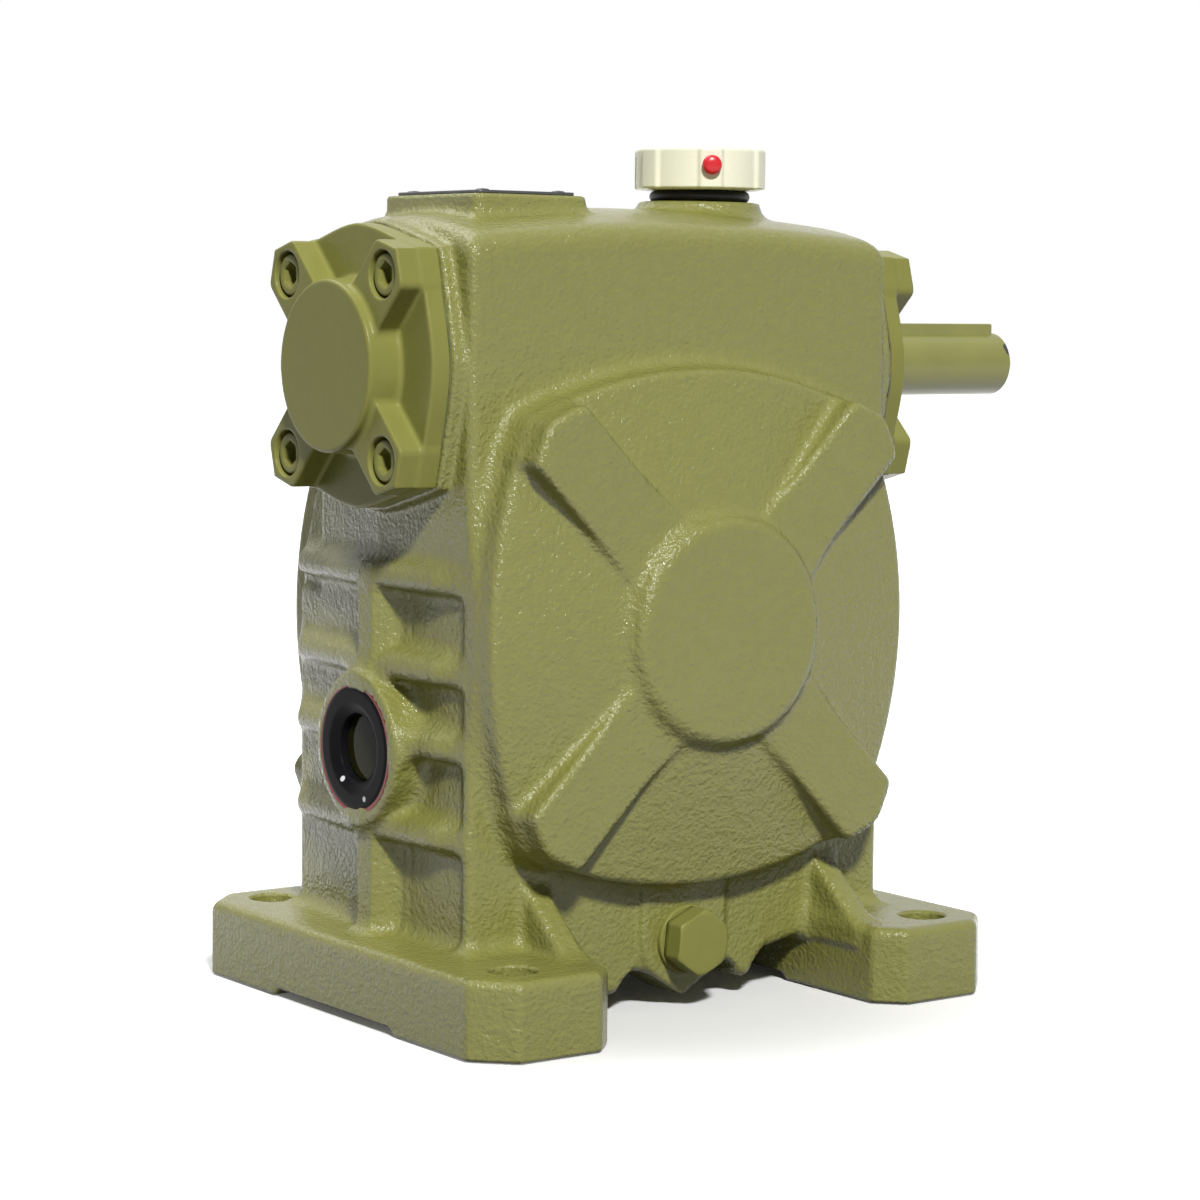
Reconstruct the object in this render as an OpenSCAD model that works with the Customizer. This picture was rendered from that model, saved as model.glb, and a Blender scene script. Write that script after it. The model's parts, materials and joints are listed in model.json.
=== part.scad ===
// Worm gear reducer, worm above the wheel, on two feet.
// X runs along the worm, Y along the wheel shaft towards the output, Z up.
// The origin lies on the mounting plane, at the centre of the four foot bolts.

/* [Layout] */
// Height of the wheel axis above the feet
wheel_axis_z = 90; // [86:1:96]
// Distance from the wheel axis up to the worm axis
centre_distance = 60; // [59:0.5:62]

/* [Feet] */
// Overall width across the two feet, along the worm
base_width = 150; // [146:1:160]
// Length of each foot, along the wheel shaft
foot_length = 130; // [124:1:140]
// Width of each foot
foot_width = 36.4; // [34:0.2:38]
// Thickness of the feet
foot_thickness = 18; // [15:1:20]
// Bolt spacing along the worm
bolt_spacing_x = 120; // [118:1:124]
// Bolt spacing along the wheel shaft
bolt_spacing_y = 105; // [100:1:108]
// Diameter of the foot bolt holes
foot_hole_d = 11; // [9:0.5:13]
// Chamfer of the outer corners of the feet
foot_chamfer = 8.5; // [4:0.5:10]
// Chamfer of the inner corners of the feet
foot_inner_chamfer = 6; // [2:0.5:8]
// Depth of the cast relief under the middle of each foot
foot_relief_depth = 1.5; // [0.5:0.5:3]
// Length of the relief under each foot
foot_relief_length = 52; // [30:1:70]
// Thickness of the gusset webs on the feet
gusset_thickness = 7; // [4:0.5:9]
// Reach of the gusset webs along the feet
gusset_reach = 12; // [8:1:16]
// Rise of the gusset webs above the feet
gusset_rise = 13; // [8:1:16]

/* [Housing] */
// Wall beside the wheel chamber
side_wall = 9.1; // [8.8:0.1:10]
// Wall beside the wheel chamber at the output cover's seat
seat_wall = 5; // [4.2:0.2:6]
// Distance of the front wall from the middle of the worm
front_wall_y = 35; // [34:0.5:36]
// Distance of the output cover's seat from the middle of the worm
cover_seat_y = 45; // [44:0.5:48]
// Height of the crown of the top above the worm axis
crown_rise = 37.5; // [35:0.5:40]
// Radius of the top's arch, seen along the worm
top_arch_r = 120; // [100:1:160]
// Radius of the top's gentle crown, seen along the wheel shaft
top_crown_r = 560; // [400:10:1000]
// Distance of the end pads' faces from the wheel axis
end_pad_x = 64; // [62:0.5:68]
// Margin of the end pads round the cap flanges
end_pad_margin = 1.2; // [0.5:0.1:2]
// Distance of the sump's front wall from the middle of the worm
sump_front_y = 35.3; // [35.2:0.1:35.8]
// Height of the sump's underside above the feet plane
sump_z = 8.4; // [7:0.2:9]
// Radius of the sump's underside
sump_arc_r = 154; // [120:1:240]
// Thickness of the floor of the sump
sump_floor = 4.6; // [4:0.2:6]
// Spacing of the two fins under the sump
fin_spacing = 39; // [36:1:44]
// Thickness of the fins under the sump
fin_thickness = 5.5; // [4:0.5:7]
// Clearance of the fins above the feet plane
fin_z = 3.9; // [3:0.1:6]

/* [Front face] */
// Half size of the closed front face across its bulged sides
face_half = 60; // [58:0.5:60]
// Radius of the bulged sides of the front face
face_side_r = 112; // [100:1:140]
// Depth of the rim of the front face
face_rim_y = 43.2; // [42:0.2:46]
// Depth of the four raised pads
face_pad_y = 49.5; // [48:0.5:51]
// Width of the four raised pads
face_pad_width = 19; // [14:0.5:22]
// Radius of the middle boss
face_boss_r = 26.2; // [24:0.2:30]
// Depth of the middle boss
face_boss_y = 53.3; // [52:0.2:56]

/* [Side ribs] */
// Height of the middle of the rib group
rib_group_z = 73; // [70:0.2:76]
// Half distance of the two inner ribs
rib_inner_offset = 8.6; // [7:0.2:10]
// Half distance of the two outer ribs
rib_outer_offset = 29.3; // [26:0.2:31]
// Thickness of a rib at its root
rib_root = 8.4; // [6:0.2:10]
// Thickness of a rib at its crest
rib_crest = 4.6; // [3:0.2:6]
// Height of the ribs at the mould's parting line
rib_height = 4.5; // [3:0.5:6]
// Place of the mould's parting line across the side
parting_y = 3; // [2:0.2:4]

/* [Top bosses] */
// Height of the top bosses above the worm axis
top_boss_rise = 39.5; // [39:0.5:42]
// Radius of the filler boss
filler_boss_r = 14.8; // [13.5:0.1:16]
// Distance of the filler from the wheel axis, towards the input
filler_x = 29.6; // [26:0.2:32]
// Diameter of the filler's threaded hole
filler_hole_d = 16; // [14:0.5:17]
// Size of the plate pad along the worm
plate_pad_x = 31.5; // [28:0.5:34]
// Size of the plate pad across the worm
plate_pad_y = 39.4; // [34:0.2:42]
// Distance of the middle of the plate pad from the wheel axis
plate_pad_offset = 33.5; // [32:0.5:36]

/* [Plugs and sight glass] */
// Height of the sight glass above the feet
sight_z = 61.4; // [58:0.2:65]
// Radius of the sight glass boss
sight_boss_r = 17.5; // [16.5:0.1:19]
// Distance of the sight glass boss face from the wheel axis
sight_face_x = 67; // [66:0.2:69]
// Radius of the black ring
sight_ring_r = 15.7; // [14:0.1:16.4]
// Radius of the window in the ring
sight_window_r = 8; // [6:0.2:9]
// Radius of the ring's threaded neck
sight_neck_r = 11.5; // [11:0.1:13]
// Height of the drain plug above the feet
drain_z = 16; // [15.5:0.5:17]
// Radius of the drain boss
drain_boss_r = 12.5; // [10:0.1:12.5]
// Distance of the drain boss face from the middle of the worm
drain_face_y = 36.5; // [36.5:0.5:38]
// Size of the drain plug across the flats
drain_flats = 13.4; // [12:0.2:15]
// Height of the drain plug's head
drain_head_h = 4.6; // [3:0.2:7]
// Radius of the drain plug's thread
drain_thread_r = 4.8; // [4:0.1:5.5]
// Radius of the drain washer
drain_washer_r = 8.6; // [8:0.1:9.5]

/* [Caps] */
// Half size of the worm caps across the flats of the flange
cap_half = 32.5; // [31.5:0.1:33]
// Radius of the bulged sides of the worm caps
cap_side_r = 80; // [60:1:120]
// Radius of the pointed corners of the worm caps
cap_tip_r = 37.5; // [37:0.1:39]
// Thickness of the cap flanges
cap_flange_t = 4.5; // [3.5:0.1:6]
// Width of the screw lugs on the caps
cap_lug_width = 15; // [12:0.5:17]
// Height of the screw lugs above the housing's end face
cap_lug_h = 11; // [10:0.5:13]
// Radius of the caps' middle boss
cap_boss_r = 20.2; // [19:0.1:22]
// Height of the closed cap's boss above the housing's end face
cap_boss_h = 13.5; // [12:0.5:16]
// Radius of the circle of the cap screws
cap_screw_r = 29.3; // [28:0.1:30]
// Margin of the output cover's flange round the wheel chamber
cover_margin = 3.5; // [2:0.5:4]
// Radius of the bulged sides of the output cover
cover_side_r = 120; // [100:5:200]
// Thickness of the output cover's flange
cover_flange_t = 5.2; // [4:0.2:7]
// Width of the screw lugs on the output cover
cover_lug_width = 18; // [15:0.5:20]
// Radius of the pointed ends of the output cover's lugs
cover_tip_r = 69.5; // [68:0.5:70]
// Height of the screw lugs above the cover's seat
cover_lug_h = 11; // [8:0.5:12]
// Radius of the output cover's middle boss
cover_boss_r = 28; // [26:0.5:32]
// Height of the output cover's boss above its seat
cover_boss_h = 17; // [15:0.5:20]
// Radius of the circle of the cover screws
cover_screw_r = 60; // [59:0.5:61]
// Thickness of the paper gaskets
gasket_t = 0.5; // [0.3:0.1:0.8]

/* [Gear pair] */
// Axial module of the worm and wheel
gear_module = 3; // [2.9:0.05:3.1]
// Number of teeth of the wheel, which is the ratio
wheel_teeth = 30; // [29:1:31]
// Pressure angle
pressure_angle = 20; // [18:1:22]
// Backlash between the flanks, measured along the worm
backlash = 0.3; // [0.2:0.05:0.5]
// Clearance between tips and roots
tip_clearance = 0.6; // [0.4:0.1:0.8]
// Face width of the bronze rim
wheel_face = 26; // [22:1:28]
// Length of the worm's thread
thread_length = 54; // [46:1:60]
// Width of the cast hub of the wheel
hub_width = 36; // [30:1:40]

/* [Shafts and keys] */
// Diameter of the input shaft
input_d = 16; // [14:0.5:16.5]
// Distance of the input shaft's end from the wheel axis
input_end_x = 127.6; // [118:0.2:130]
// Width of the input key
input_key_w = 5; // [4:0.5:6]
// Height of the input key above the shaft
input_key_proud = 2.4; // [1.5:0.1:3]
// Diameter of the output shaft
output_d = 22; // [20:0.5:24]
// Distance of the output shaft's end from the middle of the worm
output_end_y = 112; // [104:1:118]
// Width of the output key
output_key_w = 7; // [5:0.5:8]
// Height of the output key above the shaft
output_key_proud = 3; // [2:0.1:3.5]
// Diameter of the wheel seat on the output shaft
wheel_seat_d = 30; // [28:0.5:32]

/* [Bearings and seals] */
// Bore of the worm bearings
worm_brg_d = 17; // [17:0.5:18]
// Outside diameter of the worm bearings
worm_brg_od = 40; // [39:0.5:42]
// Width of the worm bearings
worm_brg_t = 13.2; // [12:0.2:14]
// Bore of the output bearings
out_brg_d = 25; // [24.5:0.5:26]
// Outside diameter of the output bearings
out_brg_od = 52; // [51:0.5:53]
// Width of the output bearings
out_brg_t = 16.2; // [15:0.2:17]
// Outside diameter of the input oil seal
input_seal_od = 30; // [28:0.5:32]
// Outside diameter of the output oil seal
output_seal_od = 40; // [38:0.5:42]
// Width of both oil seals
seal_w = 7; // [6:0.5:8]

/* [Filler cap] */
// Radius of the filler cap between its grip lobes
filler_cap_r = 15.5; // [14.5:0.1:16]
// Radius of the filler cap over its grip lobes
filler_lobe_r = 16.3; // [16.1:0.1:17]
// Width of the grip lobes
filler_lobe_w = 6.2; // [5.5:0.1:8]
// Height of the filler cap
filler_cap_h = 10.2; // [8:0.2:12]
// Radius of the filler's rubber ring
filler_ring_r = 12.3; // [11:0.1:13]
// Thickness of the filler's rubber ring
filler_ring_t = 2.9; // [2:0.1:3.5]
// Diameter of the vent plug's head
vent_head_d = 4.9; // [4:0.1:6]
// Height of the vent plug's head
vent_head_h = 2.4; // [1.5:0.1:3]
// Diameter of the vent hole
vent_hole_d = 3; // [2:0.1:3.4]

/* [Fits] */
// Radial clearance of fixed fits
fixed_fit = 0.03; // [0.02:0.01:0.05]
// Radial clearance of running fits, such as a seal on its shaft
running_fit = 0.06; // [0.03:0.01:0.1]
// Clearance between rollers and the outer races
roller_gap = 0.3; // [0.2:0.05:0.4]
// Radial clearance of screws in their holes
screw_gap = 0.3; // [0.2:0.1:0.5]

/* [Hidden] */
$fn = 72;

paint = [0.53, 0.53, 0.29];
worm_z = wheel_axis_z + centre_distance;
eps = 0.01;

// Gear pair
pitch = PI * gear_module;
wheel_pitch_r = gear_module * wheel_teeth / 2;
worm_pitch_r = centre_distance - wheel_pitch_r;
worm_tip_r = worm_pitch_r + gear_module;
worm_root_r = worm_pitch_r - gear_module - tip_clearance;
wheel_tip_r = wheel_pitch_r + gear_module;
wheel_outer_r = wheel_tip_r + gear_module * 0.4;
wheel_base_r = wheel_pitch_r * cos(pressure_angle);
rim_inner_r = wheel_pitch_r - gear_module - tip_clearance - 5.4;

// Housing
chamber_gap = 2.3;
chamber_r = wheel_outer_r + chamber_gap;
chamber_front_y = 36;
body_half = chamber_r + side_wall;
seat_half = chamber_r + seat_wall;
tunnel_r = worm_tip_r + 4;
bearing_wall = 6;
worm_bore_r = worm_brg_od / 2;
out_bore_r = out_brg_od / 2;
foot_inner_x = base_width / 2 - foot_width;
crown_z = worm_z + crown_rise;
boss_z = worm_z + top_boss_rise;
rib_zs = [rib_group_z - rib_outer_offset, rib_group_z - rib_inner_offset,
    rib_group_z + rib_inner_offset, rib_group_z + rib_outer_offset];
cover_half = chamber_r + cover_margin;
cover_slope = 0.444;
cap_slope = 0.573;

// Bearings sit against the caps
cap_seat_x = end_pad_x + gasket_t;
spigot_len = 6;
worm_brg_x = end_pad_x - spigot_len;
worm_shoulder_x = worm_brg_x - worm_brg_t;
front_wall_t = 8.8;
crown_gap = 0.3;
out_brg_front_y = -(face_boss_y - front_wall_t);
out_shoulder_y = -out_brg_front_y - out_brg_t;
cover_y = cover_seat_y + gasket_t;

// Screws
cap_bolt_d = 6;
cap_bolt_head_d = 9.6;
cap_bolt_head_h = 5.6;
cap_bolt_len = 18;
cover_bolt_d = 8;
cover_bolt_head_d = 12.6;
cover_bolt_head_h = 7;
cover_bolt_len = 20;
head_recess = 0.8;

// Extrude a Y-Z outline along X
module slab_x(x0, x1) {
    translate([x0, 0, 0])
        rotate([90, 0, 90])
            linear_extrude(x1 - x0)
                children();
}

// Extrude an X-Z outline along Y
module slab_y(y0, y1) {
    translate([0, y1, 0])
        rotate([90, 0, 0])
            linear_extrude(y1 - y0)
                children();
}

// Put a form that is turned about Z on to the wheel axis, with its Z along +Y
module on_wheel_axis() {
    translate([0, 0, wheel_axis_z])
        rotate([-90, 0, 0])
            children();
}

// Put a form that is turned about Z on to the worm axis, with its Z along +X
module on_worm_axis() {
    translate([0, 0, worm_z])
        rotate([0, 90, 0])
            children();
}

// The two worm ends, as the same form turned half round about Z
module both_ends() {
    for (turn = [0, 180])
        rotate([0, 0, turn])
            children();
}

// Square outline whose four sides are arcs
module bulged_square(half, side_r) {
    intersection_for (turn = [0:90:270])
        rotate(turn)
            translate([half - side_r, 0])
                circle(r = side_r, $fn = 360);
}

// Four bars at 45 degrees with pointed ends
module pointed_cross(width, tip_r, slope) {
    shoulder = tip_r - slope * width / 2;
    for (turn = [45:90:315])
        rotate(turn)
            polygon([[0, -width / 2], [shoulder, -width / 2], [tip_r, 0],
                [shoulder, width / 2], [0, width / 2]]);
}

// Outline with eight points that cuts the corners of a flange to chevrons
module chevron_clip(tip_r, slope) {
    side_r = tip_r / (1 + slope) * sqrt(2);
    polygon([for (i = [0:7]) (i % 2 == 0 ? side_r : tip_r) * [cos(45 * i), sin(45 * i)]]);
}

// Places of four screws on a circle, at 45 degrees
module at_four(r) {
    for (turn = [45:90:315])
        rotate(turn)
            translate([r, 0, 0])
                children();
}

// Socket head screw, with its head's top at Z = 0 and pointing down
module socket_screw(d, head_d, head_h, len, socket) {
    difference() {
        union() {
            translate([0, 0, -head_h])
                cylinder(d = head_d, h = head_h - 0.6);
            translate([0, 0, -0.6])
                cylinder(d1 = head_d, d2 = head_d - 1.2, h = 0.6);
            translate([0, 0, -head_h - len])
                cylinder(d = d, h = len + eps);
        }
        translate([0, 0, -head_h * 0.6])
            cylinder(d = socket / cos(30), h = head_h, $fn = 6);
    }
}

// Foot rail with chamfered corners, a relief below and two bolt holes
module foot() {
    x0 = foot_inner_x;
    x1 = base_width / 2;
    y1 = foot_length / 2;
    c = foot_chamfer;
    ci = foot_inner_chamfer;
    difference() {
        linear_extrude(foot_thickness)
            polygon([[x0, -y1 + ci], [x0 + ci, -y1], [x1 - c, -y1], [x1, -y1 + c],
                [x1, y1 - c], [x1 - c, y1], [x0 + ci, y1], [x0, y1 - ci]]);
        translate([x0 - 1, -foot_relief_length / 2, -1])
            cube([foot_width + 2, foot_relief_length, foot_relief_depth + 1]);
        for (side = [-1, 1])
            translate([bolt_spacing_x / 2, side * bolt_spacing_y / 2, -1])
                cylinder(d = foot_hole_d, h = foot_thickness + 2);
    }
}

// Gusset web that runs from a wall down on to a foot
module gusset(wall_y, side) {
    slab_x(foot_inner_x + eps, foot_inner_x + gusset_thickness)
        polygon([[side * (wall_y - 4), foot_thickness - 2],
            [side * (wall_y + gusset_reach), foot_thickness - 2],
            [side * (wall_y + gusset_reach), foot_thickness + 0.6],
            [side * (wall_y + gusset_reach * 0.4), foot_thickness + gusset_rise * 0.42],
            [side * (wall_y - eps), foot_thickness + gusset_rise],
            [side * (wall_y - 4), foot_thickness + gusset_rise]]);
}

// Worm tunnel: flat sides and an arched top
module tunnel_outline() {
    intersection() {
        translate([-front_wall_y, wheel_axis_z - 1])
            square([2 * front_wall_y, crown_z - wheel_axis_z + 2]);
        translate([0, crown_z - top_arch_r])
            circle(r = top_arch_r, $fn = 360);
    }
}

// Outline of the body from above; it draws in from the parting line to the cover's seat
module body_plan() {
    polygon([[-body_half, -front_wall_y], [body_half, -front_wall_y], [body_half, parting_y],
        [seat_half, cover_seat_y], [-seat_half, cover_seat_y], [-body_half, parting_y]]);
}

// Solid of the upper housing
module upper_body() {
    intersection() {
        union() {
            intersection() {
                slab_x(-body_half - 1, body_half + 1)
                    tunnel_outline();
                linear_extrude(crown_z + 1)
                    body_plan();
            }
            slab_x(-end_pad_x, end_pad_x)
                translate([0, worm_z])
                    intersection() {
                        bulged_square(cap_half + end_pad_margin, cap_side_r);
                        chevron_clip(cap_tip_r + end_pad_margin, cap_slope);
                    }
        }
        translate([0, foot_length / 2, crown_z + crown_gap - top_crown_r])
            rotate([90, 0, 0])
                cylinder(r = top_crown_r, h = foot_length, $fn = 1440);
    }
}

// Solid of the lower housing, with the seat of the output cover
module lower_body() {
    translate([0, 0, foot_thickness - 2])
        linear_extrude(wheel_axis_z - foot_thickness + 2)
            body_plan();
    slab_y(0, cover_seat_y)
        translate([0, wheel_axis_z]) {
            bulged_square(seat_half - 0.5, cover_side_r);
            pointed_cross(cover_lug_width + 1, cover_tip_r, cover_slope);
        }
}

// Closed front face: a shallow cone with a boss and four raised pads, all in one outline
module front_face() {
    reach = face_half * 1.2;
    rise = (face_pad_y - face_rim_y) / (face_half - face_boss_r);
    intersection() {
        union() {
            on_wheel_axis()
                rotate_extrude()
                    polygon([[0, -20], [reach, -20],
                        [reach, -face_rim_y + rise * (reach - face_half)],
                        [face_boss_r + 1.2, -face_pad_y + 0.1],
                        [face_boss_r, 0.6 - face_boss_y], [face_boss_r - 1, -face_boss_y],
                        [0, -face_boss_y]]);
            slab_y(-face_pad_y, -20)
                translate([0, wheel_axis_z])
                    pointed_cross(face_pad_width, reach, 0);
        }
        slab_y(-face_boss_y - 1, -15)
            translate([0, wheel_axis_z])
                bulged_square(face_half, face_side_r);
    }
}

// Sump between the feet, with two fins and the drain boss
module sump() {
    difference() {
        translate([-foot_inner_x - 4, -sump_front_y, sump_z])
            cube([2 * foot_inner_x + 8, sump_front_y + cover_seat_y, wheel_axis_z - face_half - 4]);
        translate([0, foot_length / 2, sump_z - sump_arc_r])
            rotate([90, 0, 0])
                cylinder(r = sump_arc_r, h = foot_length, $fn = 720);
    }
    translate([-foot_inner_x - 4, -sump_front_y, sump_z + 5])
        cube([2 * foot_inner_x + 8, sump_front_y + cover_seat_y, 16]);
    for (side = [-1, 1])
        translate([side * fin_spacing / 2 - fin_thickness / 2, -sump_front_y - 0.4, fin_z])
            cube([fin_thickness, sump_front_y + cover_seat_y + 0.4, 24]);
    translate([0, -sump_front_y + 1, drain_z])
        rotate([90, 0, 0])
            cylinder(r = drain_boss_r, h = drain_face_y - sump_front_y + 1);
}

// Ribs and ridge of one side wall, on the +X side
module side_ribs() {
    x0 = seat_half - 3;
    crest = body_half + rib_height;
    front = -front_wall_y + 3;
    back = cover_seat_y - 1;
    intersection() {
        for (z = rib_zs)
            slab_y(-front_wall_y, cover_seat_y)
                polygon([[x0, z - rib_root / 2], [crest, z - rib_crest / 2],
                    [crest, z + rib_crest / 2], [x0, z + rib_root / 2]]);
        translate([0, 0, foot_thickness])
            linear_extrude(wheel_axis_z)
                polygon([[x0, front], [body_half - 0.5, front], [body_half + 2.6, front + 8],
                    [crest, parting_y - 2], [crest, parting_y + 2], [seat_half + 2.3, back],
                    [x0, back]]);
    }
    translate([0, 0, foot_thickness - 1])
        linear_extrude(rib_zs[3] - foot_thickness + 1)
            polygon([[x0, parting_y - 8], [body_half - 0.5, parting_y - 7],
                [crest, parting_y - 2], [crest, parting_y + 2],
                [body_half - 0.5, parting_y + 3.5], [x0, parting_y + 6]]);
}

// Seats, bores and hollows that are cut out of the casting
module housing_cuts() {
    on_wheel_axis() {
        translate([0, 0, -chamber_front_y])
            cylinder(r = chamber_r, h = chamber_front_y + cover_seat_y + 1);
    }
    on_worm_axis() {
        translate([0, 0, -end_pad_x - 1])
            cylinder(r = worm_bore_r, h = 2 * end_pad_x + 2);
        translate([0, 0, -worm_shoulder_x + 2])
            cylinder(r = tunnel_r, h = 2 * worm_shoulder_x - 4);
    }
    sump_floor_z = sump_z + sump_floor;
    translate([-fin_spacing / 2, -front_wall_y + 6, sump_floor_z])
        cube([fin_spacing, front_wall_y + cover_seat_y - 12, wheel_axis_z - sump_floor_z]);
    translate([-body_half + 8, -front_wall_y + 6, foot_thickness + 4])
        cube([2 * body_half - 16, front_wall_y + cover_seat_y - 6 - cover_bolt_len,
            wheel_axis_z - foot_thickness - 32]);
    translate([filler_x, 0, worm_z])
        cylinder(d = filler_hole_d, h = top_boss_rise + 1);
    translate([-sight_face_x - 1, parting_y, sight_z])
        rotate([0, 90, 0])
            cylinder(r = sight_neck_r + fixed_fit, h = sight_face_x);
    translate([0, -drain_face_y - 1, drain_z])
        rotate([-90, 0, 0])
            cylinder(r = drain_thread_r + fixed_fit, h = drain_face_y - front_wall_y + 8);
    both_ends()
        translate([end_pad_x, 0, worm_z])
            rotate([0, 90, 0])
                at_four(cap_screw_r)
                    translate([0, 0, -cap_bolt_len + 2])
                        cylinder(d = cap_bolt_d, h = cap_bolt_len);
    on_wheel_axis()
        translate([0, 0, cover_seat_y])
            at_four(cover_screw_r)
                translate([0, 0, -cover_bolt_len + 2])
                    cylinder(d = cover_bolt_d, h = cover_bolt_len);
}

// Boss inside the front face that holds the front output bearing
module front_bearing_boss() {
    on_wheel_axis()
        difference() {
            translate([0, 0, -chamber_front_y - 1])
                cylinder(r = out_bore_r + bearing_wall, h = chamber_front_y + 1 - out_shoulder_y);
            translate([0, 0, out_brg_front_y])
                cylinder(r = out_bore_r, h = out_brg_t + out_bore_r);
        }
}

// Cast housing
module housing() {
    color(paint) {
        difference() {
            union() {
                both_ends()
                    foot();
                for (turn = [0, 1])
                    mirror([turn, 0, 0]) {
                        gusset(front_wall_y, -1);
                        gusset(cover_seat_y - 4, 1);
                        side_ribs();
                    }
                upper_body();
                lower_body();
                front_face();
                sump();
                translate([filler_x, 0, worm_z + front_wall_y - 4])
                    cylinder(r = filler_boss_r, h = boss_z - worm_z - front_wall_y + 4);
                translate([-plate_pad_offset - plate_pad_x / 2, -plate_pad_y / 2,
                        worm_z + front_wall_y - 2])
                    cube([plate_pad_x, plate_pad_y, boss_z - worm_z - front_wall_y + 2]);
                translate([-sight_face_x, parting_y, sight_z])
                    rotate([0, 90, 0])
                        cylinder(r = sight_boss_r, h = 14);
            }
            housing_cuts();
            on_wheel_axis()
                translate([0, 0, out_brg_front_y])
                    cylinder(r = out_bore_r, h = 30);
        }
        front_bearing_boss();
    }
}

// Shared body of both worm caps, along +X from the housing's end face
module cap_blank(boss_h) {
    x0 = cap_seat_x;
    translate([0, 0, worm_z]) {
        slab_x(x0, x0 + cap_flange_t)
            intersection() {
                bulged_square(cap_half, cap_side_r);
                chevron_clip(cap_tip_r, cap_slope);
            }
        slab_x(x0, end_pad_x + cap_lug_h)
            pointed_cross(cap_lug_width, cap_tip_r, cap_slope);
        translate([x0, 0, 0])
            rotate([0, 90, 0])
                cylinder(r1 = cap_boss_r + 0.6, r2 = cap_boss_r - 0.4, h = boss_h - gasket_t - 0.9);
        translate([end_pad_x + boss_h - 0.9 - eps, 0, 0])
            rotate([0, 90, 0])
                cylinder(r1 = cap_boss_r - 0.4, r2 = cap_boss_r - 1.3, h = 0.9 + eps);
        translate([worm_brg_x, 0, 0])
            rotate([0, 90, 0])
                cylinder(r = worm_bore_r - fixed_fit, h = x0 - worm_brg_x + 1);
    }
}

// Screw holes and counterbores of a worm cap
module cap_screw_holes() {
    translate([end_pad_x + cap_lug_h, 0, worm_z])
        rotate([0, 90, 0])
            at_four(cap_screw_r) {
                translate([0, 0, -cap_lug_h - 5])
                    cylinder(d = cap_bolt_d + 2 * screw_gap, h = cap_lug_h + 6);
                translate([0, 0, -cap_bolt_head_h - head_recess])
                    cylinder(d = cap_bolt_head_d + 4 * screw_gap, h = cap_bolt_head_h + 6);
            }
}

// Gasket under a worm cap
module cap_gasket() {
    translate([0, 0, worm_z])
        difference() {
            slab_x(end_pad_x, end_pad_x + gasket_t)
                intersection() {
                    bulged_square(cap_half, cap_side_r);
                    chevron_clip(cap_tip_r, cap_slope);
                }
            translate([end_pad_x - 1, 0, 0])
                rotate([0, 90, 0]) {
                    cylinder(r = worm_bore_r + fixed_fit, h = 4);
                    at_four(cap_screw_r)
                        cylinder(d = cap_bolt_d + 2 * screw_gap, h = 4);
                }
        }
}

// Four screws of a worm cap
module cap_screws() {
    translate([end_pad_x + cap_lug_h - head_recess, 0, worm_z])
        rotate([0, 90, 0])
            at_four(cap_screw_r)
                socket_screw(cap_bolt_d - 2 * fixed_fit, cap_bolt_head_d, cap_bolt_head_h,
                    cap_bolt_len, 5);
}

// Closed cap at the worm's far end
module worm_end_cap() {
    color(paint)
        rotate([0, 0, 180])
            difference() {
                cap_blank(cap_boss_h);
                cap_screw_holes();
                translate([worm_brg_x - 1, 0, worm_z])
                    rotate([0, 90, 0])
                        cylinder(r = worm_brg_d / 2 + 6, h = spigot_len + 3);
            }
}

module worm_end_gasket() {
    color("darkslategray")
        rotate([0, 0, 180])
            cap_gasket();
}

module worm_end_screws() {
    color(paint)
        rotate([0, 0, 180])
            cap_screws();
}

// Cap with the oil seal that the input shaft passes
module input_cap() {
    color(paint)
        difference() {
            cap_blank(cap_lug_h + 1.6);
            cap_screw_holes();
            translate([worm_brg_x - 1, 0, worm_z])
                rotate([0, 90, 0]) {
                    cylinder(r = worm_brg_d / 2 + 3, h = 40);
                    translate([0, 0, end_pad_x + cap_lug_h + 1.2 - worm_brg_x - seal_w])
                        cylinder(d = input_seal_od, h = seal_w + 4);
                }
        }
}

module input_gasket() {
    color("darkslategray")
        cap_gasket();
}

module input_screws() {
    color(paint)
        cap_screws();
}

// Rear cover with the second output bearing and the output seal
module output_cover() {
    seat = cover_y;
    color(paint)
        on_wheel_axis()
            difference() {
                union() {
                    translate([0, 0, seat])
                        linear_extrude(cover_flange_t)
                            bulged_square(cover_half, cover_side_r);
                    translate([0, 0, seat])
                        linear_extrude(cover_lug_h)
                            pointed_cross(cover_lug_width, cover_tip_r, cover_slope);
                    translate([0, 0, seat])
                        cylinder(r1 = cover_boss_r + 12, r2 = cover_boss_r + 1,
                            h = cover_lug_h + 1);
                    translate([0, 0, seat])
                        cylinder(r = cover_boss_r, h = cover_boss_h - gasket_t);
                    translate([0, 0, seat - 4])
                        cylinder(r = chamber_r - fixed_fit, h = 5);
                    translate([0, 0, out_shoulder_y])
                        cylinder(r = out_bore_r + bearing_wall, h = seat - out_shoulder_y + 1);
                }
                translate([0, 0, out_shoulder_y - 1])
                    cylinder(r = out_bore_r, h = out_brg_t + 1);
                translate([0, 0, out_shoulder_y])
                    cylinder(r = output_seal_od / 2 - 4, h = output_end_y);
                translate([0, 0, cover_seat_y + cover_boss_h - seal_w - 1])
                    cylinder(d = output_seal_od, h = seal_w + 2);
                at_four(cover_screw_r) {
                    translate([0, 0, seat - 1])
                        cylinder(d = cover_bolt_d + 2 * screw_gap, h = 30);
                    translate([0, 0, seat + cover_lug_h - cover_bolt_head_h + 1])
                        cylinder(d = cover_bolt_head_d + 4 * screw_gap, h = 30);
                }
            }
}

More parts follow.
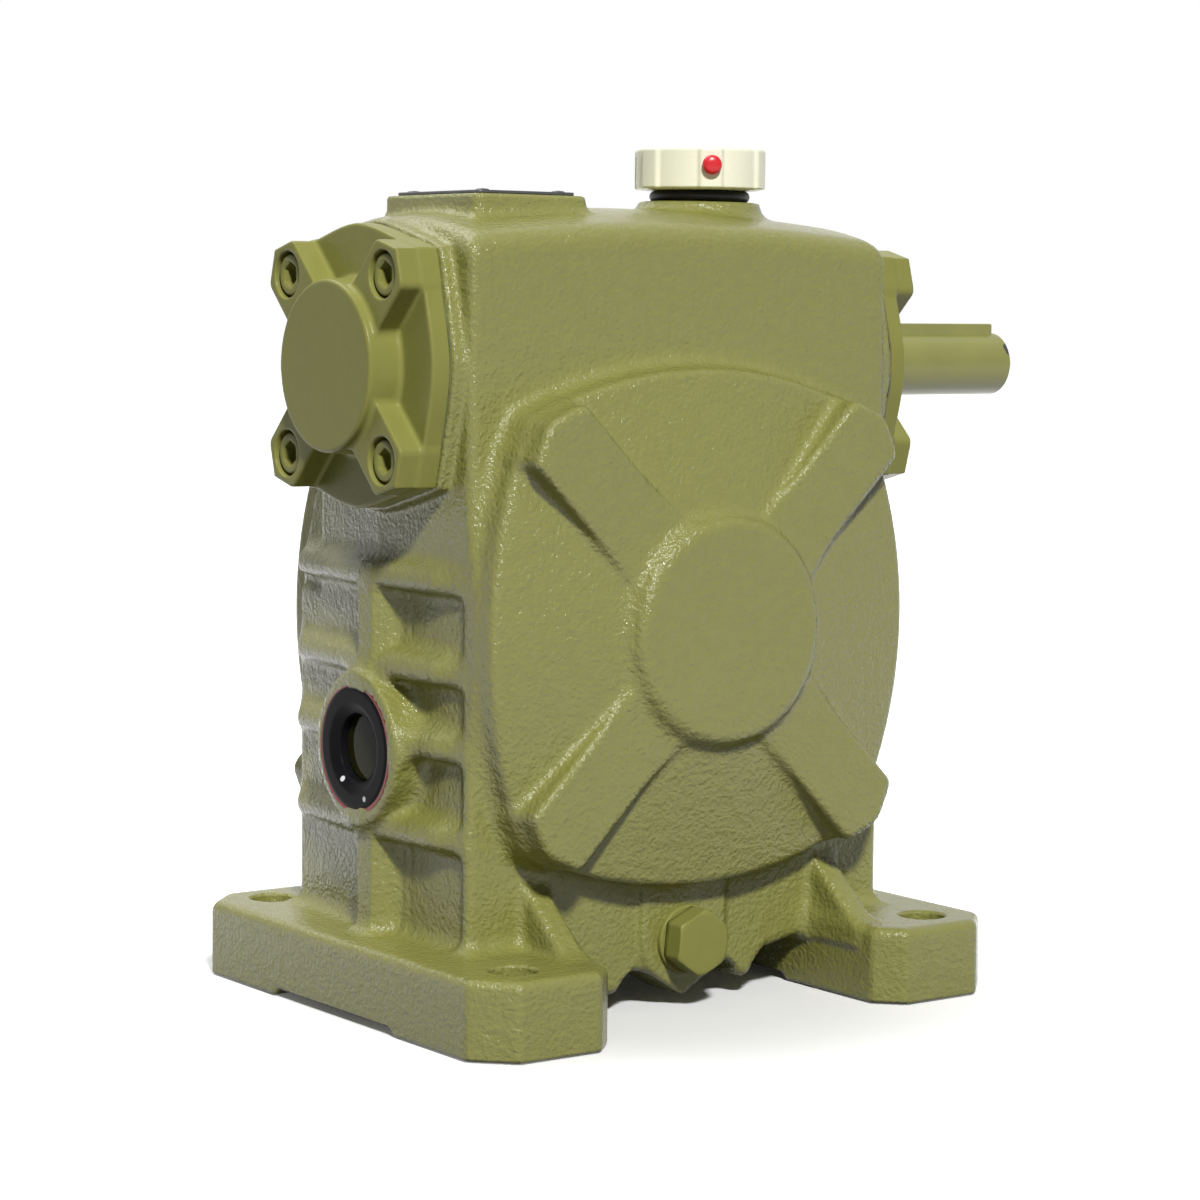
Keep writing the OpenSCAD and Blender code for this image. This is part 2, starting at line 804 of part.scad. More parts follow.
module output_gasket() {
    color("darkslategray")
        on_wheel_axis()
            translate([0, 0, cover_seat_y])
                linear_extrude(gasket_t)
                    difference() {
                        union() {
                            bulged_square(cover_half, cover_side_r);
                            pointed_cross(cover_lug_width, cover_tip_r, cover_slope);
                        }
                        circle(r = chamber_r);
                        at_four(cover_screw_r)
                            circle(d = cover_bolt_d + 2 * screw_gap);
                    }
}

module output_screws() {
    color(paint)
        on_wheel_axis()
            translate([0, 0, cover_y + cover_lug_h + 1])
                at_four(cover_screw_r)
                    socket_screw(cover_bolt_d - 2 * fixed_fit, cover_bolt_head_d,
                        cover_bolt_head_h, cover_bolt_len, 6);
}

// Lip seal, turned about Z, with its outer face at Z = 0
module lip_seal(od, shaft_d) {
    ro = od / 2 - fixed_fit;
    ri = shaft_d / 2 + running_fit;
    rotate_extrude()
        polygon([[ri + 0.8, 0], [ro - 0.4, 0], [ro, -0.5], [ro, -seal_w], [ro - 1.2, -seal_w],
            [ro - 1.2, -1.6], [ri + 2.2, -1.6], [ri + 1.8, -seal_w + 1], [ri, -seal_w + 2],
            [ri + 1, -seal_w + 3.2], [ri, -0.9]]);
}

module input_oil_seal() {
    color("saddlebrown")
        on_worm_axis()
            translate([0, 0, end_pad_x + cap_lug_h + 0.6])
                lip_seal(input_seal_od, worm_brg_d);
}

module output_oil_seal() {
    color("saddlebrown")
        on_wheel_axis()
            translate([0, 0, cover_seat_y + cover_boss_h - 0.6])
                lip_seal(output_seal_od, out_brg_d);
}

// Place of the sight glass, with Z pointing outwards
module at_sight_glass() {
    translate([-sight_face_x, parting_y, sight_z])
        rotate([0, -90, 0])
            children();
}

// Black ring with a rounded front and a threaded neck
module sight_glass_ring() {
    ri = sight_window_r;
    ro = sight_ring_r;
    color("black")
        at_sight_glass()
            rotate_extrude()
                polygon([[ri, -9], [sight_neck_r, -9], [sight_neck_r, 0.4], [ro, 0.4],
                    [ro, 0.8], [ro - 1, 1.5], [ro - 3, 1.9], [ri + 2.5, 1.8], [ri + 0.8, 1.2],
                    [ri, 0.2]]);
}

module sight_glass_seal() {
    color("firebrick")
        at_sight_glass()
            difference() {
                cylinder(r = sight_ring_r + 0.3, h = 0.4);
                translate([0, 0, -1])
                    cylinder(r = sight_neck_r, h = 3);
            }
}

module sight_glass_lens() {
    color("lightcyan")
        at_sight_glass()
            translate([0, 0, -5])
                cylinder(r = sight_window_r - fixed_fit, h = 2.4);
}

// Disc with two holes behind the glass, against which the oil level is read
module sight_glass_reflector() {
    r = sight_window_r - fixed_fit;
    color("goldenrod")
        at_sight_glass()
            translate([0, 0, -8.4])
                difference() {
                    cylinder(r = r, h = 0.8);
                    for (side = [-1, 1])
                        translate([side * r * 0.55, 0, -1])
                            cylinder(r = r * 0.22, h = 3);
                }
}

// Place of the filler, on top of its boss
module at_filler() {
    translate([filler_x, 0, boss_z])
        children();
}

// Direction in which the vent plug faces
vent_turn = -117.6;
vent_z = filler_ring_t + filler_cap_h * 0.56;

// Put a form along the vent hole, with Z pointing out of the cap's side
module along_vent(out) {
    translate([0, 0, vent_z])
        rotate([0, 0, vent_turn])
            rotate([0, 90, 0])
                translate([0, 0, filler_lobe_r - 0.15 + out])
                    children();
}

// Outline of the cap: a round with six flat-ended grip lobes
module filler_cap_outline() {
    circle(r = filler_cap_r);
    intersection() {
        circle(r = filler_lobe_r);
        for (turn = [0:60:300])
            rotate(vent_turn + turn)
                translate([0, -filler_lobe_w / 2])
                    square([filler_lobe_r - 0.15, filler_lobe_w]);
    }
}

// Moulded cap, screwed into the filler hole
module filler_cap() {
    z0 = filler_ring_t;
    color("lemonchiffon")
        at_filler()
            difference() {
                union() {
                    translate([0, 0, z0])
                        linear_extrude(filler_cap_h - 0.8)
                            filler_cap_outline();
                    translate([0, 0, z0 + filler_cap_h - 0.8 - eps])
                        cylinder(r1 = filler_cap_r - 0.3, r2 = filler_cap_r - 3, h = 0.8 + eps);
                    cylinder(r = filler_ring_r - filler_ring_t - fixed_fit, h = z0 + eps);
                    translate([0, 0, -11])
                        cylinder(d = filler_hole_d - 2 * fixed_fit, h = 12);
                }
                translate([0, 0, -12])
                    cylinder(d = filler_hole_d - 5, h = 12 + vent_z);
                along_vent(-filler_lobe_r)
                    cylinder(d = vent_hole_d, h = filler_lobe_r + 4);
            }
}

module filler_ring() {
    color("black")
        at_filler()
            translate([0, 0, filler_ring_t / 2])
                rotate_extrude()
                    translate([filler_ring_r - filler_ring_t / 2, 0])
                        circle(d = filler_ring_t - 0.04, $fn = 48);
}

// Red plug that closes the vent until the gearbox is put to work
module vent_plug() {
    stem = 6;
    color("red")
        at_filler()
            along_vent(0.02) {
                translate([0, 0, -stem])
                    cylinder(d = vent_hole_d - 2 * running_fit, h = stem + 0.5);
                cylinder(d1 = vent_head_d - 0.6, d2 = vent_head_d, h = vent_head_h * 0.4);
                translate([0, 0, vent_head_h * 0.4])
                    cylinder(d1 = vent_head_d, d2 = vent_head_d - 0.8, h = vent_head_h * 0.6);
            }
}

// Place of the drain plug, with Z pointing outwards
module at_drain(out) {
    translate([0, -drain_face_y - out, drain_z])
        rotate([90, 0, 0])
            children();
}

module drain_washer() {
    color("olivedrab")
        at_drain(0)
            difference() {
                cylinder(r = drain_washer_r, h = 1.4);
                translate([0, 0, -1])
                    cylinder(r = drain_thread_r + 0.2, h = 4);
            }
}

// Hexagon plug; its corners are turned off by a cone
module drain_plug() {
    corner_r = drain_flats / 2 / cos(30);
    color(paint)
        at_drain(1.4) {
            intersection() {
                rotate(24)
                    cylinder(r = corner_r, h = drain_head_h, $fn = 6);
                cylinder(r1 = corner_r + drain_head_h * 1.7, r2 = drain_flats / 2,
                    h = drain_head_h);
            }
            translate([0, 0, -10])
                cylinder(r = drain_thread_r, h = 10 + eps);
        }
}

// Bare plate on the top pad
plate_margin = 2.2;
plate_t = 0.8;
pin_margin = 3;

module nameplate() {
    sx = plate_pad_x - 2 * plate_margin;
    sy = plate_pad_y - 2 * plate_margin;
    color("dimgray")
        translate([-plate_pad_offset, 0, boss_z])
            linear_extrude(plate_t)
                difference() {
                    square([sx, sy], center = true);
                    for (x = [-1, 1], y = [-1, 1])
                        translate([x * (sx / 2 - pin_margin), y * (sy / 2 - pin_margin)])
                            circle(r = 1);
                }
}

module nameplate_pins() {
    sx = plate_pad_x - 2 * plate_margin;
    sy = plate_pad_y - 2 * plate_margin;
    color("silver")
        for (x = [-1, 1], y = [-1, 1])
            translate([-plate_pad_offset + x * (sx / 2 - pin_margin),
                    y * (sy / 2 - pin_margin), boss_z + plate_t]) {
                translate([0, 0, -plate_t])
                    cylinder(r = 0.96, h = plate_t + eps);
                cylinder(r1 = 1.9, r2 = 1.1, h = 0.8);
            }
}

// Tapered roller bearings, turned about Z, wide end of the cone at Z = 0
roller_tilt = 11;
roller_taper = 1.6;

function brg_mid_r(d, od) = (d + od) / 4 + 0.2;
function roller_r(d, od) = (od - d) / 2 * 0.235;
function roller_l(t) = t * 0.6;

module bearing_cup(d, od, t) {
    mid = brg_mid_r(d, od) + roller_r(d, od) / cos(roller_tilt) + roller_gap;
    slope = tan(roller_tilt + roller_taper);
    z0 = t * 0.16;
    rotate_extrude()
        polygon([[mid + slope * (t / 2 - z0), z0], [od / 2 - fixed_fit, z0],
            [od / 2 - fixed_fit, t], [mid - slope * t / 2, t]]);
}

module bearing_cone(d, od, t) {
    mid = brg_mid_r(d, od) - roller_r(d, od) / cos(roller_tilt) - 0.1;
    slope = tan(roller_tilt - roller_taper);
    half = roller_l(t) / 2 + 0.65;
    z1 = t * 0.9;
    rib = 1.1;
    rotate_extrude()
        polygon([[d / 2 + fixed_fit, 0], [mid + slope * half + rib, 0],
            [mid + slope * half + rib, t / 2 - half], [mid + slope * half, t / 2 - half],
            [mid - slope * half, t / 2 + half], [mid - slope * half + rib * 0.4, t / 2 + half],
            [mid - slope * half + rib * 0.4, z1], [d / 2 + fixed_fit, z1]]);
}

module bearing_rollers(d, od, t, count) {
    r = roller_r(d, od);
    dr = sin(roller_taper) * roller_l(t) / 2;
    for (i = [0:count - 1])
        rotate(i * 360 / count)
            translate([brg_mid_r(d, od), 0, t / 2])
                rotate([0, -roller_tilt, 0])
                    cylinder(r1 = r + dr, r2 = r - dr, h = roller_l(t), center = true, $fn = 36);
}

// The bearings' wide ends rest against the shafts' shoulders
module at_worm_bearing() {
    translate([worm_shoulder_x, 0, worm_z])
        rotate([0, 90, 0])
            children();
}

module at_output_bearing() {
    on_wheel_axis()
        translate([0, 0, out_shoulder_y])
            children();
}

worm_rollers = 13;
out_rollers = 15;

module worm_cup() {
    color("gainsboro")
        at_worm_bearing()
            bearing_cup(worm_brg_d, worm_brg_od, worm_brg_t);
}

module worm_cone() {
    color("silver")
        at_worm_bearing()
            bearing_cone(worm_brg_d, worm_brg_od, worm_brg_t);
}

module worm_roller_set() {
    color("whitesmoke")
        at_worm_bearing()
            bearing_rollers(worm_brg_d, worm_brg_od, worm_brg_t, worm_rollers);
}

module output_cup() {
    color("gainsboro")
        at_output_bearing()
            bearing_cup(out_brg_d, out_brg_od, out_brg_t);
}

module output_cone() {
    color("silver")
        at_output_bearing()
            bearing_cone(out_brg_d, out_brg_od, out_brg_t);
}

module output_roller_set() {
    color("whitesmoke")
        at_output_bearing()
            bearing_rollers(out_brg_d, out_brg_od, out_brg_t, out_rollers);
}

module turned_end() {
    rotate([0, 0, 180])
        children();
}

// Half thickness of the worm's thread along X at radius r
function thread_half(r) = pitch / 4 - backlash / 4 - (r - worm_pitch_r) * tan(pressure_angle);

// One thread, swept round the worm; its crest runs out at both ends
module worm_thread() {
    steps = 30;
    turns = thread_length / pitch;
    n = round(turns * steps);
    root = worm_root_r - 0.4;
    fade = steps / 3;
    function station(i) =
        let (angle = (i - n / 2) * 360 / steps,
            x = pitch * angle / 360,
            lift = min(1, (i + 1) / fade, (n - i + 1) / fade),
            tip = root + (worm_tip_r - root) * lift)
        [for (c = [[-thread_half(root), root], [-thread_half(tip), tip],
            [thread_half(tip), tip], [thread_half(root), root]])
            [x + c[0], c[1] * sin(angle), -c[1] * cos(angle)]];
    points = [for (i = [0:n]) each station(i)];
    walls = [for (i = [0:n - 1], j = [0:3])
        let (a = 4 * i + j, b = 4 * i + (j + 1) % 4)
        each [[a, b, b + 4], [a, b + 4, a + 4]]];
    polyhedron(points, concat([[3, 2, 1, 0]], walls, [[4 * n, 4 * n + 1, 4 * n + 2, 4 * n + 3]]));
}

// Hardened worm, in one piece with its shaft
module worm_shaft() {
    shoulder_r = worm_brg_d / 2 + 2.4;
    key_len = 34;
    color("lightsteelblue")
        translate([0, 0, worm_z])
            difference() {
                union() {
                    worm_thread();
                    rotate([0, 90, 0]) {
                        translate([0, 0, -thread_length / 2 - 4])
                            cylinder(r = worm_root_r, h = thread_length + 8);
                        translate([0, 0, -worm_shoulder_x])
                            cylinder(r = shoulder_r, h = 2 * worm_shoulder_x);
                        translate([0, 0, -worm_brg_x - 1])
                            cylinder(d = worm_brg_d, h = 2 * worm_brg_x);
                        translate([0, 0, worm_brg_x - 2])
                            cylinder(d = worm_brg_d, h = end_pad_x + cap_lug_h + 4 - worm_brg_x);
                        translate([0, 0, worm_brg_x])
                            cylinder(d = input_d, h = input_end_x - 1 - worm_brg_x);
                        translate([0, 0, input_end_x - 1 - eps])
                            cylinder(d1 = input_d, d2 = input_d - 2, h = 1 + eps);
                    }
                }
                translate([input_end_x - 2.5 - key_len, -input_key_w / 2,
                        input_d / 2 + input_key_proud - input_key_w])
                    cube([key_len, input_key_w, input_key_w]);
            }
}

module input_key() {
    key_len = 34;
    color("lightsteelblue")
        translate([input_end_x - 2.5 - key_len, -input_key_w / 2 + fixed_fit,
                worm_z + input_d / 2 + input_key_proud - input_key_w + fixed_fit])
            cube([key_len, input_key_w - 2 * fixed_fit, input_key_w]);
}

// Involute of an angle in degrees, as an angle in degrees
function inv(a) = (tan(a) * 180 / PI) - a;
function involute_at(r) = r <= wheel_base_r ? 0 : inv(acos(wheel_base_r / r));

// Half angle of a wheel tooth at radius r, with some land left at its tip
function tooth_half(r) = max(0.25, 90 / wheel_teeth - backlash / 4 / wheel_pitch_r * 180 / PI
    + inv(pressure_angle) - involute_at(r));

// Height of a circle round the worm axis below that axis, at offset y
function round_worm(r, y) = sqrt(max(r * r - y * y, 0.01));
function tip_at(y) = min(wheel_outer_r, centre_distance - round_worm(centre_distance - wheel_tip_r, y));
function root_at(y) = centre_distance - round_worm(worm_tip_r + tip_clearance, y);

// Turn of the tooth spaces at offset y, which follows the worm's thread
function space_turn(y) = pitch * atan2(y, worm_pitch_r) / 360 / wheel_pitch_r * 180 / PI;

// Toothed rim: involute teeth in every section, turned along the thread, ends bevelled
module tooth_ring() {
    sections = 6;
    flank = 3;
    bevel = 0.8;
    half = wheel_face / 2;
    count = (2 * flank + 2) * wheel_teeth;
    function ring(y, depth) =
        let (r0 = root_at(y))
        [for (k = [0:wheel_teeth - 1])
            let (mid = (k + 0.5) * 360 / wheel_teeth + space_turn(y))
            each [for (s = [-1, 1])
                each [for (f = [0:flank])
                    let (g = s < 0 ? f : flank - f,
                        r = r0 + (tip_at(y) - r0) * g / flank,
                        a = mid + s * tooth_half(r),
                        rr = r0 + (r - r0) * depth)
                    [rr * sin(a), y, rr * cos(a)]]]];
    step = 2 * (half - bevel) / sections;
    points = concat(ring(-half, 0),
        [for (i = [0:sections]) each ring(-half + bevel + i * step, 1)],
        ring(half, 0));
    rings = sections + 3;
    walls = [for (i = [0:rings - 2], j = [0:count - 1])
        let (a = i * count + j, b = i * count + (j + 1) % count)
        each [[a, b + count, b], [a, a + count, b + count]]];
    front = [for (j = [0:count - 1]) j];
    back = [for (j = [count - 1:-1:0]) (rings - 1) * count + j];
    polyhedron(points, concat([front], walls, [back]));
}

// Bronze rim of the worm wheel
module wheel_rim() {
    color("goldenrod")
        translate([0, 0, wheel_axis_z])
            difference() {
                tooth_ring();
                rotate([90, 0, 0])
                    cylinder(r = rim_inner_r + fixed_fit, h = wheel_face + 2, center = true);
            }
}

// Cast hub that carries the bronze rim
module wheel_hub() {
    web = 12;
    seat_r = wheel_seat_d / 2;
    rim_r = rim_inner_r;
    key_h = 4;
    color("dimgray")
        on_wheel_axis()
            difference() {
                rotate_extrude()
                    polygon([[seat_r + fixed_fit, -hub_width / 2], [seat_r + 8, -hub_width / 2],
                        [seat_r + 8, -web / 2], [rim_r - 5, -web / 2],
                        [rim_r - 5, -wheel_face / 2], [rim_r, -wheel_face / 2],
                        [rim_r, wheel_face / 2], [rim_r - 5, wheel_face / 2],
                        [rim_r - 5, web / 2], [seat_r + 8, web / 2],
                        [seat_r + 8, hub_width / 2], [seat_r + fixed_fit, hub_width / 2]]);
                translate([-4, -seat_r - key_h, -hub_width])
                    cube([8, seat_r + key_h, 2 * hub_width]);
            }
}

module wheel_key() {
    seat_r = wheel_seat_d / 2;
    color("gray")
        on_wheel_axis()
            translate([-4 + fixed_fit, -seat_r - 3.5 - fixed_fit, -hub_width / 2 + 2])
                cube([8 - 2 * fixed_fit, 7, hub_width - 4]);
}

// Output shaft with its bearing seats and collar
module output_shaft() {
    seat_r = wheel_seat_d / 2;
    front = out_brg_front_y + 1;
    nose = cover_seat_y + cover_boss_h;
    key_len = 40;
    color("lightsteelblue")
        on_wheel_axis()
            difference() {
                union() {
                    translate([0, 0, front])
                        cylinder(d = out_brg_d, h = nose - front);
                    translate([0, 0, -out_shoulder_y])
                        cylinder(r = seat_r + 4, h = out_shoulder_y - hub_width / 2);
                    translate([0, 0, -hub_width / 2 - 1])
                        cylinder(r = seat_r, h = hub_width + 1);
                    translate([0, 0, nose - 1])
                        cylinder(d = output_d, h = output_end_y - nose);
                    translate([0, 0, output_end_y - 1 - eps])
                        cylinder(d1 = output_d, d2 = output_d - 2, h = 1 + eps);
                }
                translate([-4, -seat_r - 6.5, -hub_width / 2 + 2])
                    cube([8, 10, hub_width - 4]);
                translate([-output_key_w / 2, -output_d / 2 - output_key_proud,
                        output_end_y - 5 - key_len])
                    cube([output_key_w, output_key_w, key_len]);
            }
}

module output_key() {
    key_len = 40;
    color("lightsteelblue")
        on_wheel_axis()
            translate([-output_key_w / 2 + fixed_fit,
                    -output_d / 2 - output_key_proud - fixed_fit,
                    output_end_y - 5 - key_len])
                cube([output_key_w - 2 * fixed_fit, output_key_w, key_len]);
}

module wheel_spacer() {
    color("gray")
        on_wheel_axis()
            translate([0, 0, hub_width / 2])
                difference() {
                    cylinder(d = out_brg_d + 7, h = out_shoulder_y - hub_width / 2);
                    translate([0, 0, -1])
                        cylinder(d = out_brg_d + 2 * fixed_fit, h = 40);
                }
}

housing();
worm_end_cap();
worm_end_gasket();
worm_end_screws();
input_cap();
input_gasket();
input_screws();
output_cover();
output_gasket();
output_screws();
input_oil_seal();
output_oil_seal();
sight_glass_ring();
sight_glass_seal();
sight_glass_lens();
sight_glass_reflector();
filler_cap();
filler_ring();
vent_plug();
drain_plug();
drain_washer();
nameplate();
nameplate_pins();
turned_end() worm_cup();  // worm_cup_left
worm_cup();  // worm_cup_right
turned_end() output_cup();  // output_cup_front
output_cup();  // output_cup_rear
worm_shaft();
input_key();
turned_end() worm_cone();  // worm_cone_left
worm_cone();  // worm_cone_right
turned_end() worm_roller_set();  // worm_rollers_left
worm_roller_set();  // worm_rollers_right
output_shaft();
wheel_hub();
wheel_rim();
wheel_key();
output_key();
wheel_spacer();
turned_end() output_cone();  // output_cone_front
output_cone();  // output_cone_rear
turned_end() output_roller_set();  // output_rollers_front
output_roller_set();  // output_rollers_rear
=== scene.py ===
# %% [markdown]
# # A worm gear reducer in glossy olive paint
# The solids come from the CAD frame and stay where they are. This file gives the visible
# pieces the soft corners, fillets and finishes of the real casting, and sets up the studio.
# All sizes below are millimetres in the CAD frame: X along the worm, Y along the wheel shaft,
# Z up, with zero on the mounting plane. They become metres when they enter a mesh.

# %% Load the frame
import json
import math
import bpy
import numpy as np
from mathutils import Matrix, Vector


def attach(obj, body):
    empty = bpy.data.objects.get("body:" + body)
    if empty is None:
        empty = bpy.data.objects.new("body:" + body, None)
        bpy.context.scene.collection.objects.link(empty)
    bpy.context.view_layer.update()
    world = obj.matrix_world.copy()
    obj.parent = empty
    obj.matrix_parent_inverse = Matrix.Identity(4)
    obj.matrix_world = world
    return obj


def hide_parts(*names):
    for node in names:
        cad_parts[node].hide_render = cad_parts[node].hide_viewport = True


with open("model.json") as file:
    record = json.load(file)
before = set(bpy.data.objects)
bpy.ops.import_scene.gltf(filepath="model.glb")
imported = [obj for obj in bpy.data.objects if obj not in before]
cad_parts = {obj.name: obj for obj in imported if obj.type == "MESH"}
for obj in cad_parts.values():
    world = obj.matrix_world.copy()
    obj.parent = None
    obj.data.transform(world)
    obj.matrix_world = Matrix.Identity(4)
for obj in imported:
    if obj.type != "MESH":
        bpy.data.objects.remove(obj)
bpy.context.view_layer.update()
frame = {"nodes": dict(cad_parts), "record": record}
MM = 0.001
WORM_Z, WHEEL_Z = 150.0, 90.0

# %% [markdown]
# ## Mesh helpers
# Two ways of making a surface are used. A turned or moulded piece is a function of two
# parameters, worked out on a grid of points. A casting has bosses, ribs and pads that melt
# into each other with fillets, and no single grid can follow that. It could be modelled by
# hand and bevelled, but the bevels break where many forms meet. So it is written as a
# distance: a number that is negative inside the metal and positive outside. Two distances
# are joined with a soft minimum, which leaves a fillet by itself.

# %% Grid surfaces
def new_piece(name, points, faces, body, finish, replaces=(), normals=None):
    """Mesh from millimetre points and arrays of faces; it rides on a CAD body and may replace nodes."""
    mesh = bpy.data.meshes.new(name)
    faces = sum((np.asarray(group).tolist() for group in faces), [])
    mesh.from_pydata((np.asarray(points) * MM).tolist(), [], faces)
    mesh.polygons.foreach_set("use_smooth", np.ones(len(mesh.polygons), dtype=bool))
    if normals is not None:
        mesh.normals_split_custom_set_from_vertices(np.asarray(normals).tolist())
    mesh.materials.append(finish)
    piece = bpy.data.objects.new(name, mesh)
    bpy.context.scene.collection.objects.link(piece)
    if normals is None:
        piece.modifiers.new("even_normals", "WEIGHTED_NORMAL").keep_sharp = True
    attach(piece, body)
    if replaces:
        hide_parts(*replaces)
    return piece


def grid_faces(rows, columns, close_rows=False, close_columns=False):
    """Four-sided faces between neighbours of a rows by columns grid, as whole index arrays."""
    i = np.arange(rows if close_rows else rows - 1)[:, None]
    j = np.arange(columns if close_columns else columns - 1)[None, :]
    a, b = i * columns + j, i * columns + (j + 1) % columns
    c, d = ((i + 1) % rows) * columns + (j + 1) % columns, ((i + 1) % rows) * columns + j
    return np.stack(np.broadcast_arrays(a, b, c, d), axis=-1).reshape(-1, 4)


def soften(corners, steps=5):
    """Profile through (radius, height, rounding) corners; each rounded one becomes a curve.

    The curve starts and ends one rounding away from the corner and is the parabola
    (1-t)^2 start + 2t(1-t) corner + t^2 end."""
    pts = np.asarray([c[:2] for c in corners], dtype=float)
    t = np.linspace(0, 1, steps)[:, None]
    out = [pts[:1]]
    for k in range(1, len(pts) - 1):
        r = corners[k][2]
        before, after = pts[k - 1] - pts[k], pts[k + 1] - pts[k]
        lb, la = np.linalg.norm(before), np.linalg.norm(after)
        if r <= 0:
            out.append(pts[k:k + 1])
            continue
        s, e = pts[k] + before / lb * min(r, lb * 0.49), pts[k] + after / la * min(r, la * 0.49)
        out.append((1 - t) ** 2 * s + 2 * t * (1 - t) * pts[k] + t ** 2 * e)
    out.append(pts[-1:])
    return np.concatenate(out)


def turned(profile, sides=96, outline=None, centre=(0, 0, 0), axis=(0, 0, 1), start=(1, 0, 0)):
    """Points and faces of a profile of (radius, height) carried round an axis.

    A ring's points lie at radius * (cos angle, sin angle, 0) + height along the axis, with
    angle zero in the start direction, and outline(angle, radius, height) may change the
    radius. An end on the axis closes with a fan of triangles round one pole, and a profile
    that ends where it began closes on itself."""
    profile = np.asarray(profile, dtype=float)
    loop = bool(np.allclose(profile[0], profile[-1]))
    profile = profile[:len(profile) - loop]
    low, high = profile[0, 0] < 1e-6, profile[-1, 0] < 1e-6
    ring = profile[int(low):len(profile) - int(high)]
    angle = np.linspace(0, 2 * np.pi, sides, endpoint=False)[None, :]
    radius = np.repeat(ring[:, :1], sides, axis=1)
    if outline is not None:
        radius = outline(angle, radius, ring[:, 1:2])
    u, v = radius * np.cos(angle), radius * np.sin(angle)
    w = np.repeat(ring[:, 1:2], sides, axis=1)
    points = [np.stack([u, v, w], axis=-1).reshape(-1, 3)]
    rows, j = len(ring), np.arange(sides)
    faces, fans = grid_faces(rows, sides, loop, True), []
    if low:
        points.append([[0, 0, profile[0, 1]]])
        fans.append(np.stack([np.full(sides, rows * sides), (j + 1) % sides, j], axis=1))
    if high:
        points.append([[0, 0, profile[-1, 1]]])
        last = (rows - 1) * sides
        fans.append(np.stack([np.full(sides, rows * sides + int(low)), last + j,
                              last + (j + 1) % sides], axis=1))
    points = np.concatenate(points)
    basis = np.array([start, np.cross(axis, start), axis], dtype=float)
    points = points @ basis + np.asarray(centre, dtype=float)
    return points, [faces] + fans


def gather(*surfaces):
    """Several (points, faces) surfaces as one, their face numbers moved along."""
    points, faces, start = [], [], 0
    for p, groups in surfaces:
        points.append(p)
        faces += [g + start for g in groups]
        start += len(p)
    return np.concatenate(points), faces


print("grid helpers ready")

# %% Distance forms
def slab(u, low, high):
    """Distance outside the interval from low to high: how far u is from its middle, less half."""
    return np.abs(u - (low + high) / 2) - (high - low) / 2


def soft_max(a, b, k):
    """Larger of two distances, rounded where they are closer than k: their edge gets a radius."""
    if k <= 0:
        return np.maximum(a, b)
    h = np.maximum(k - np.abs(a - b), 0) / k
    return np.maximum(a, b) + h * h * k * 0.25


def soft_min(a, b, k):
    """Smaller of two distances, with a fillet where they meet."""
    return -soft_max(-a, -b, k)


def edge(r, *distances):
    """The part inside all the distances, its edges rounded by about r."""
    d = distances[0]
    for other in distances[1:]:
        d = soft_max(d, other, r * 1.2)
    return d


def four_lugs(a, b, half, tip, slope, r):
    """Outline of four bars at 45 degrees: across them |a|-|b|, along them |a|+|b|, pointed ends."""
    a, b = np.abs(a), np.abs(b)
    along, across = (a + b) * math.sqrt(0.5), np.abs(a - b) * math.sqrt(0.5)
    end = (along + slope * across - tip) / math.hypot(1, slope)
    return edge(r, across - half, end)


def bulged_square(a, b, half, side_r, r):
    """Square outline whose four sides are arcs of radius side_r."""
    a, b = np.abs(a), np.abs(b)
    return edge(r, np.hypot(a + side_r - half, b) - side_r, np.hypot(b + side_r - half, a) - side_r)


class Casting:
    """A solid as a list of forms. Each form is a distance of x, y and z, valid inside a box."""

    def __init__(self):
        self.forms = []

    def join(self, form, blend, low=(-999,) * 3, high=(999,) * 3):
        self.forms.append((1, form, blend, low, high))

    def cut(self, form, blend, low=(-999,) * 3, high=(999,) * 3):
        self.forms.append((-1, form, blend, low, high))

    def _mix(self, sign, d, other, blend):
        return soft_min(d, other, blend) if sign > 0 else soft_max(d, -other, blend)

    def on_grid(self, axes):
        """Distances on a box grid; every form is worked out only on its own part of it."""
        d = np.full([len(a) for a in axes], 9.0, dtype=np.float32)
        for sign, form, blend, low, high in self.forms:
            part = tuple(slice(*np.searchsorted(a, (lo, hi))) for a, lo, hi in zip(axes, low, high))
            x, y, z = (a[s].astype(np.float32) for a, s in zip(axes, part))
            value = form(x[:, None, None], y[None, :, None], z[None, None, :])
            d[part] = self._mix(sign, d[part], value, blend)
        return d

    def at(self, p):
        """Distances at scattered points."""
        d = np.full(len(p), 9.0)
        for sign, form, blend, low, high in self.forms:
            near = np.all((p >= low) & (p < high), axis=1)
            if near.any():
                x, y, z = p[near].T
                d[near] = self._mix(sign, d[near], form(x, y, z) + 0 * x, blend)
        return d

    def slope(self, p, h):
        """Direction in which the distance grows, from its differences over a step h."""
        steps = np.eye(3) * h
        return np.stack([self.at(p + s) - self.at(p - s) for s in steps], axis=1) / (2 * h)


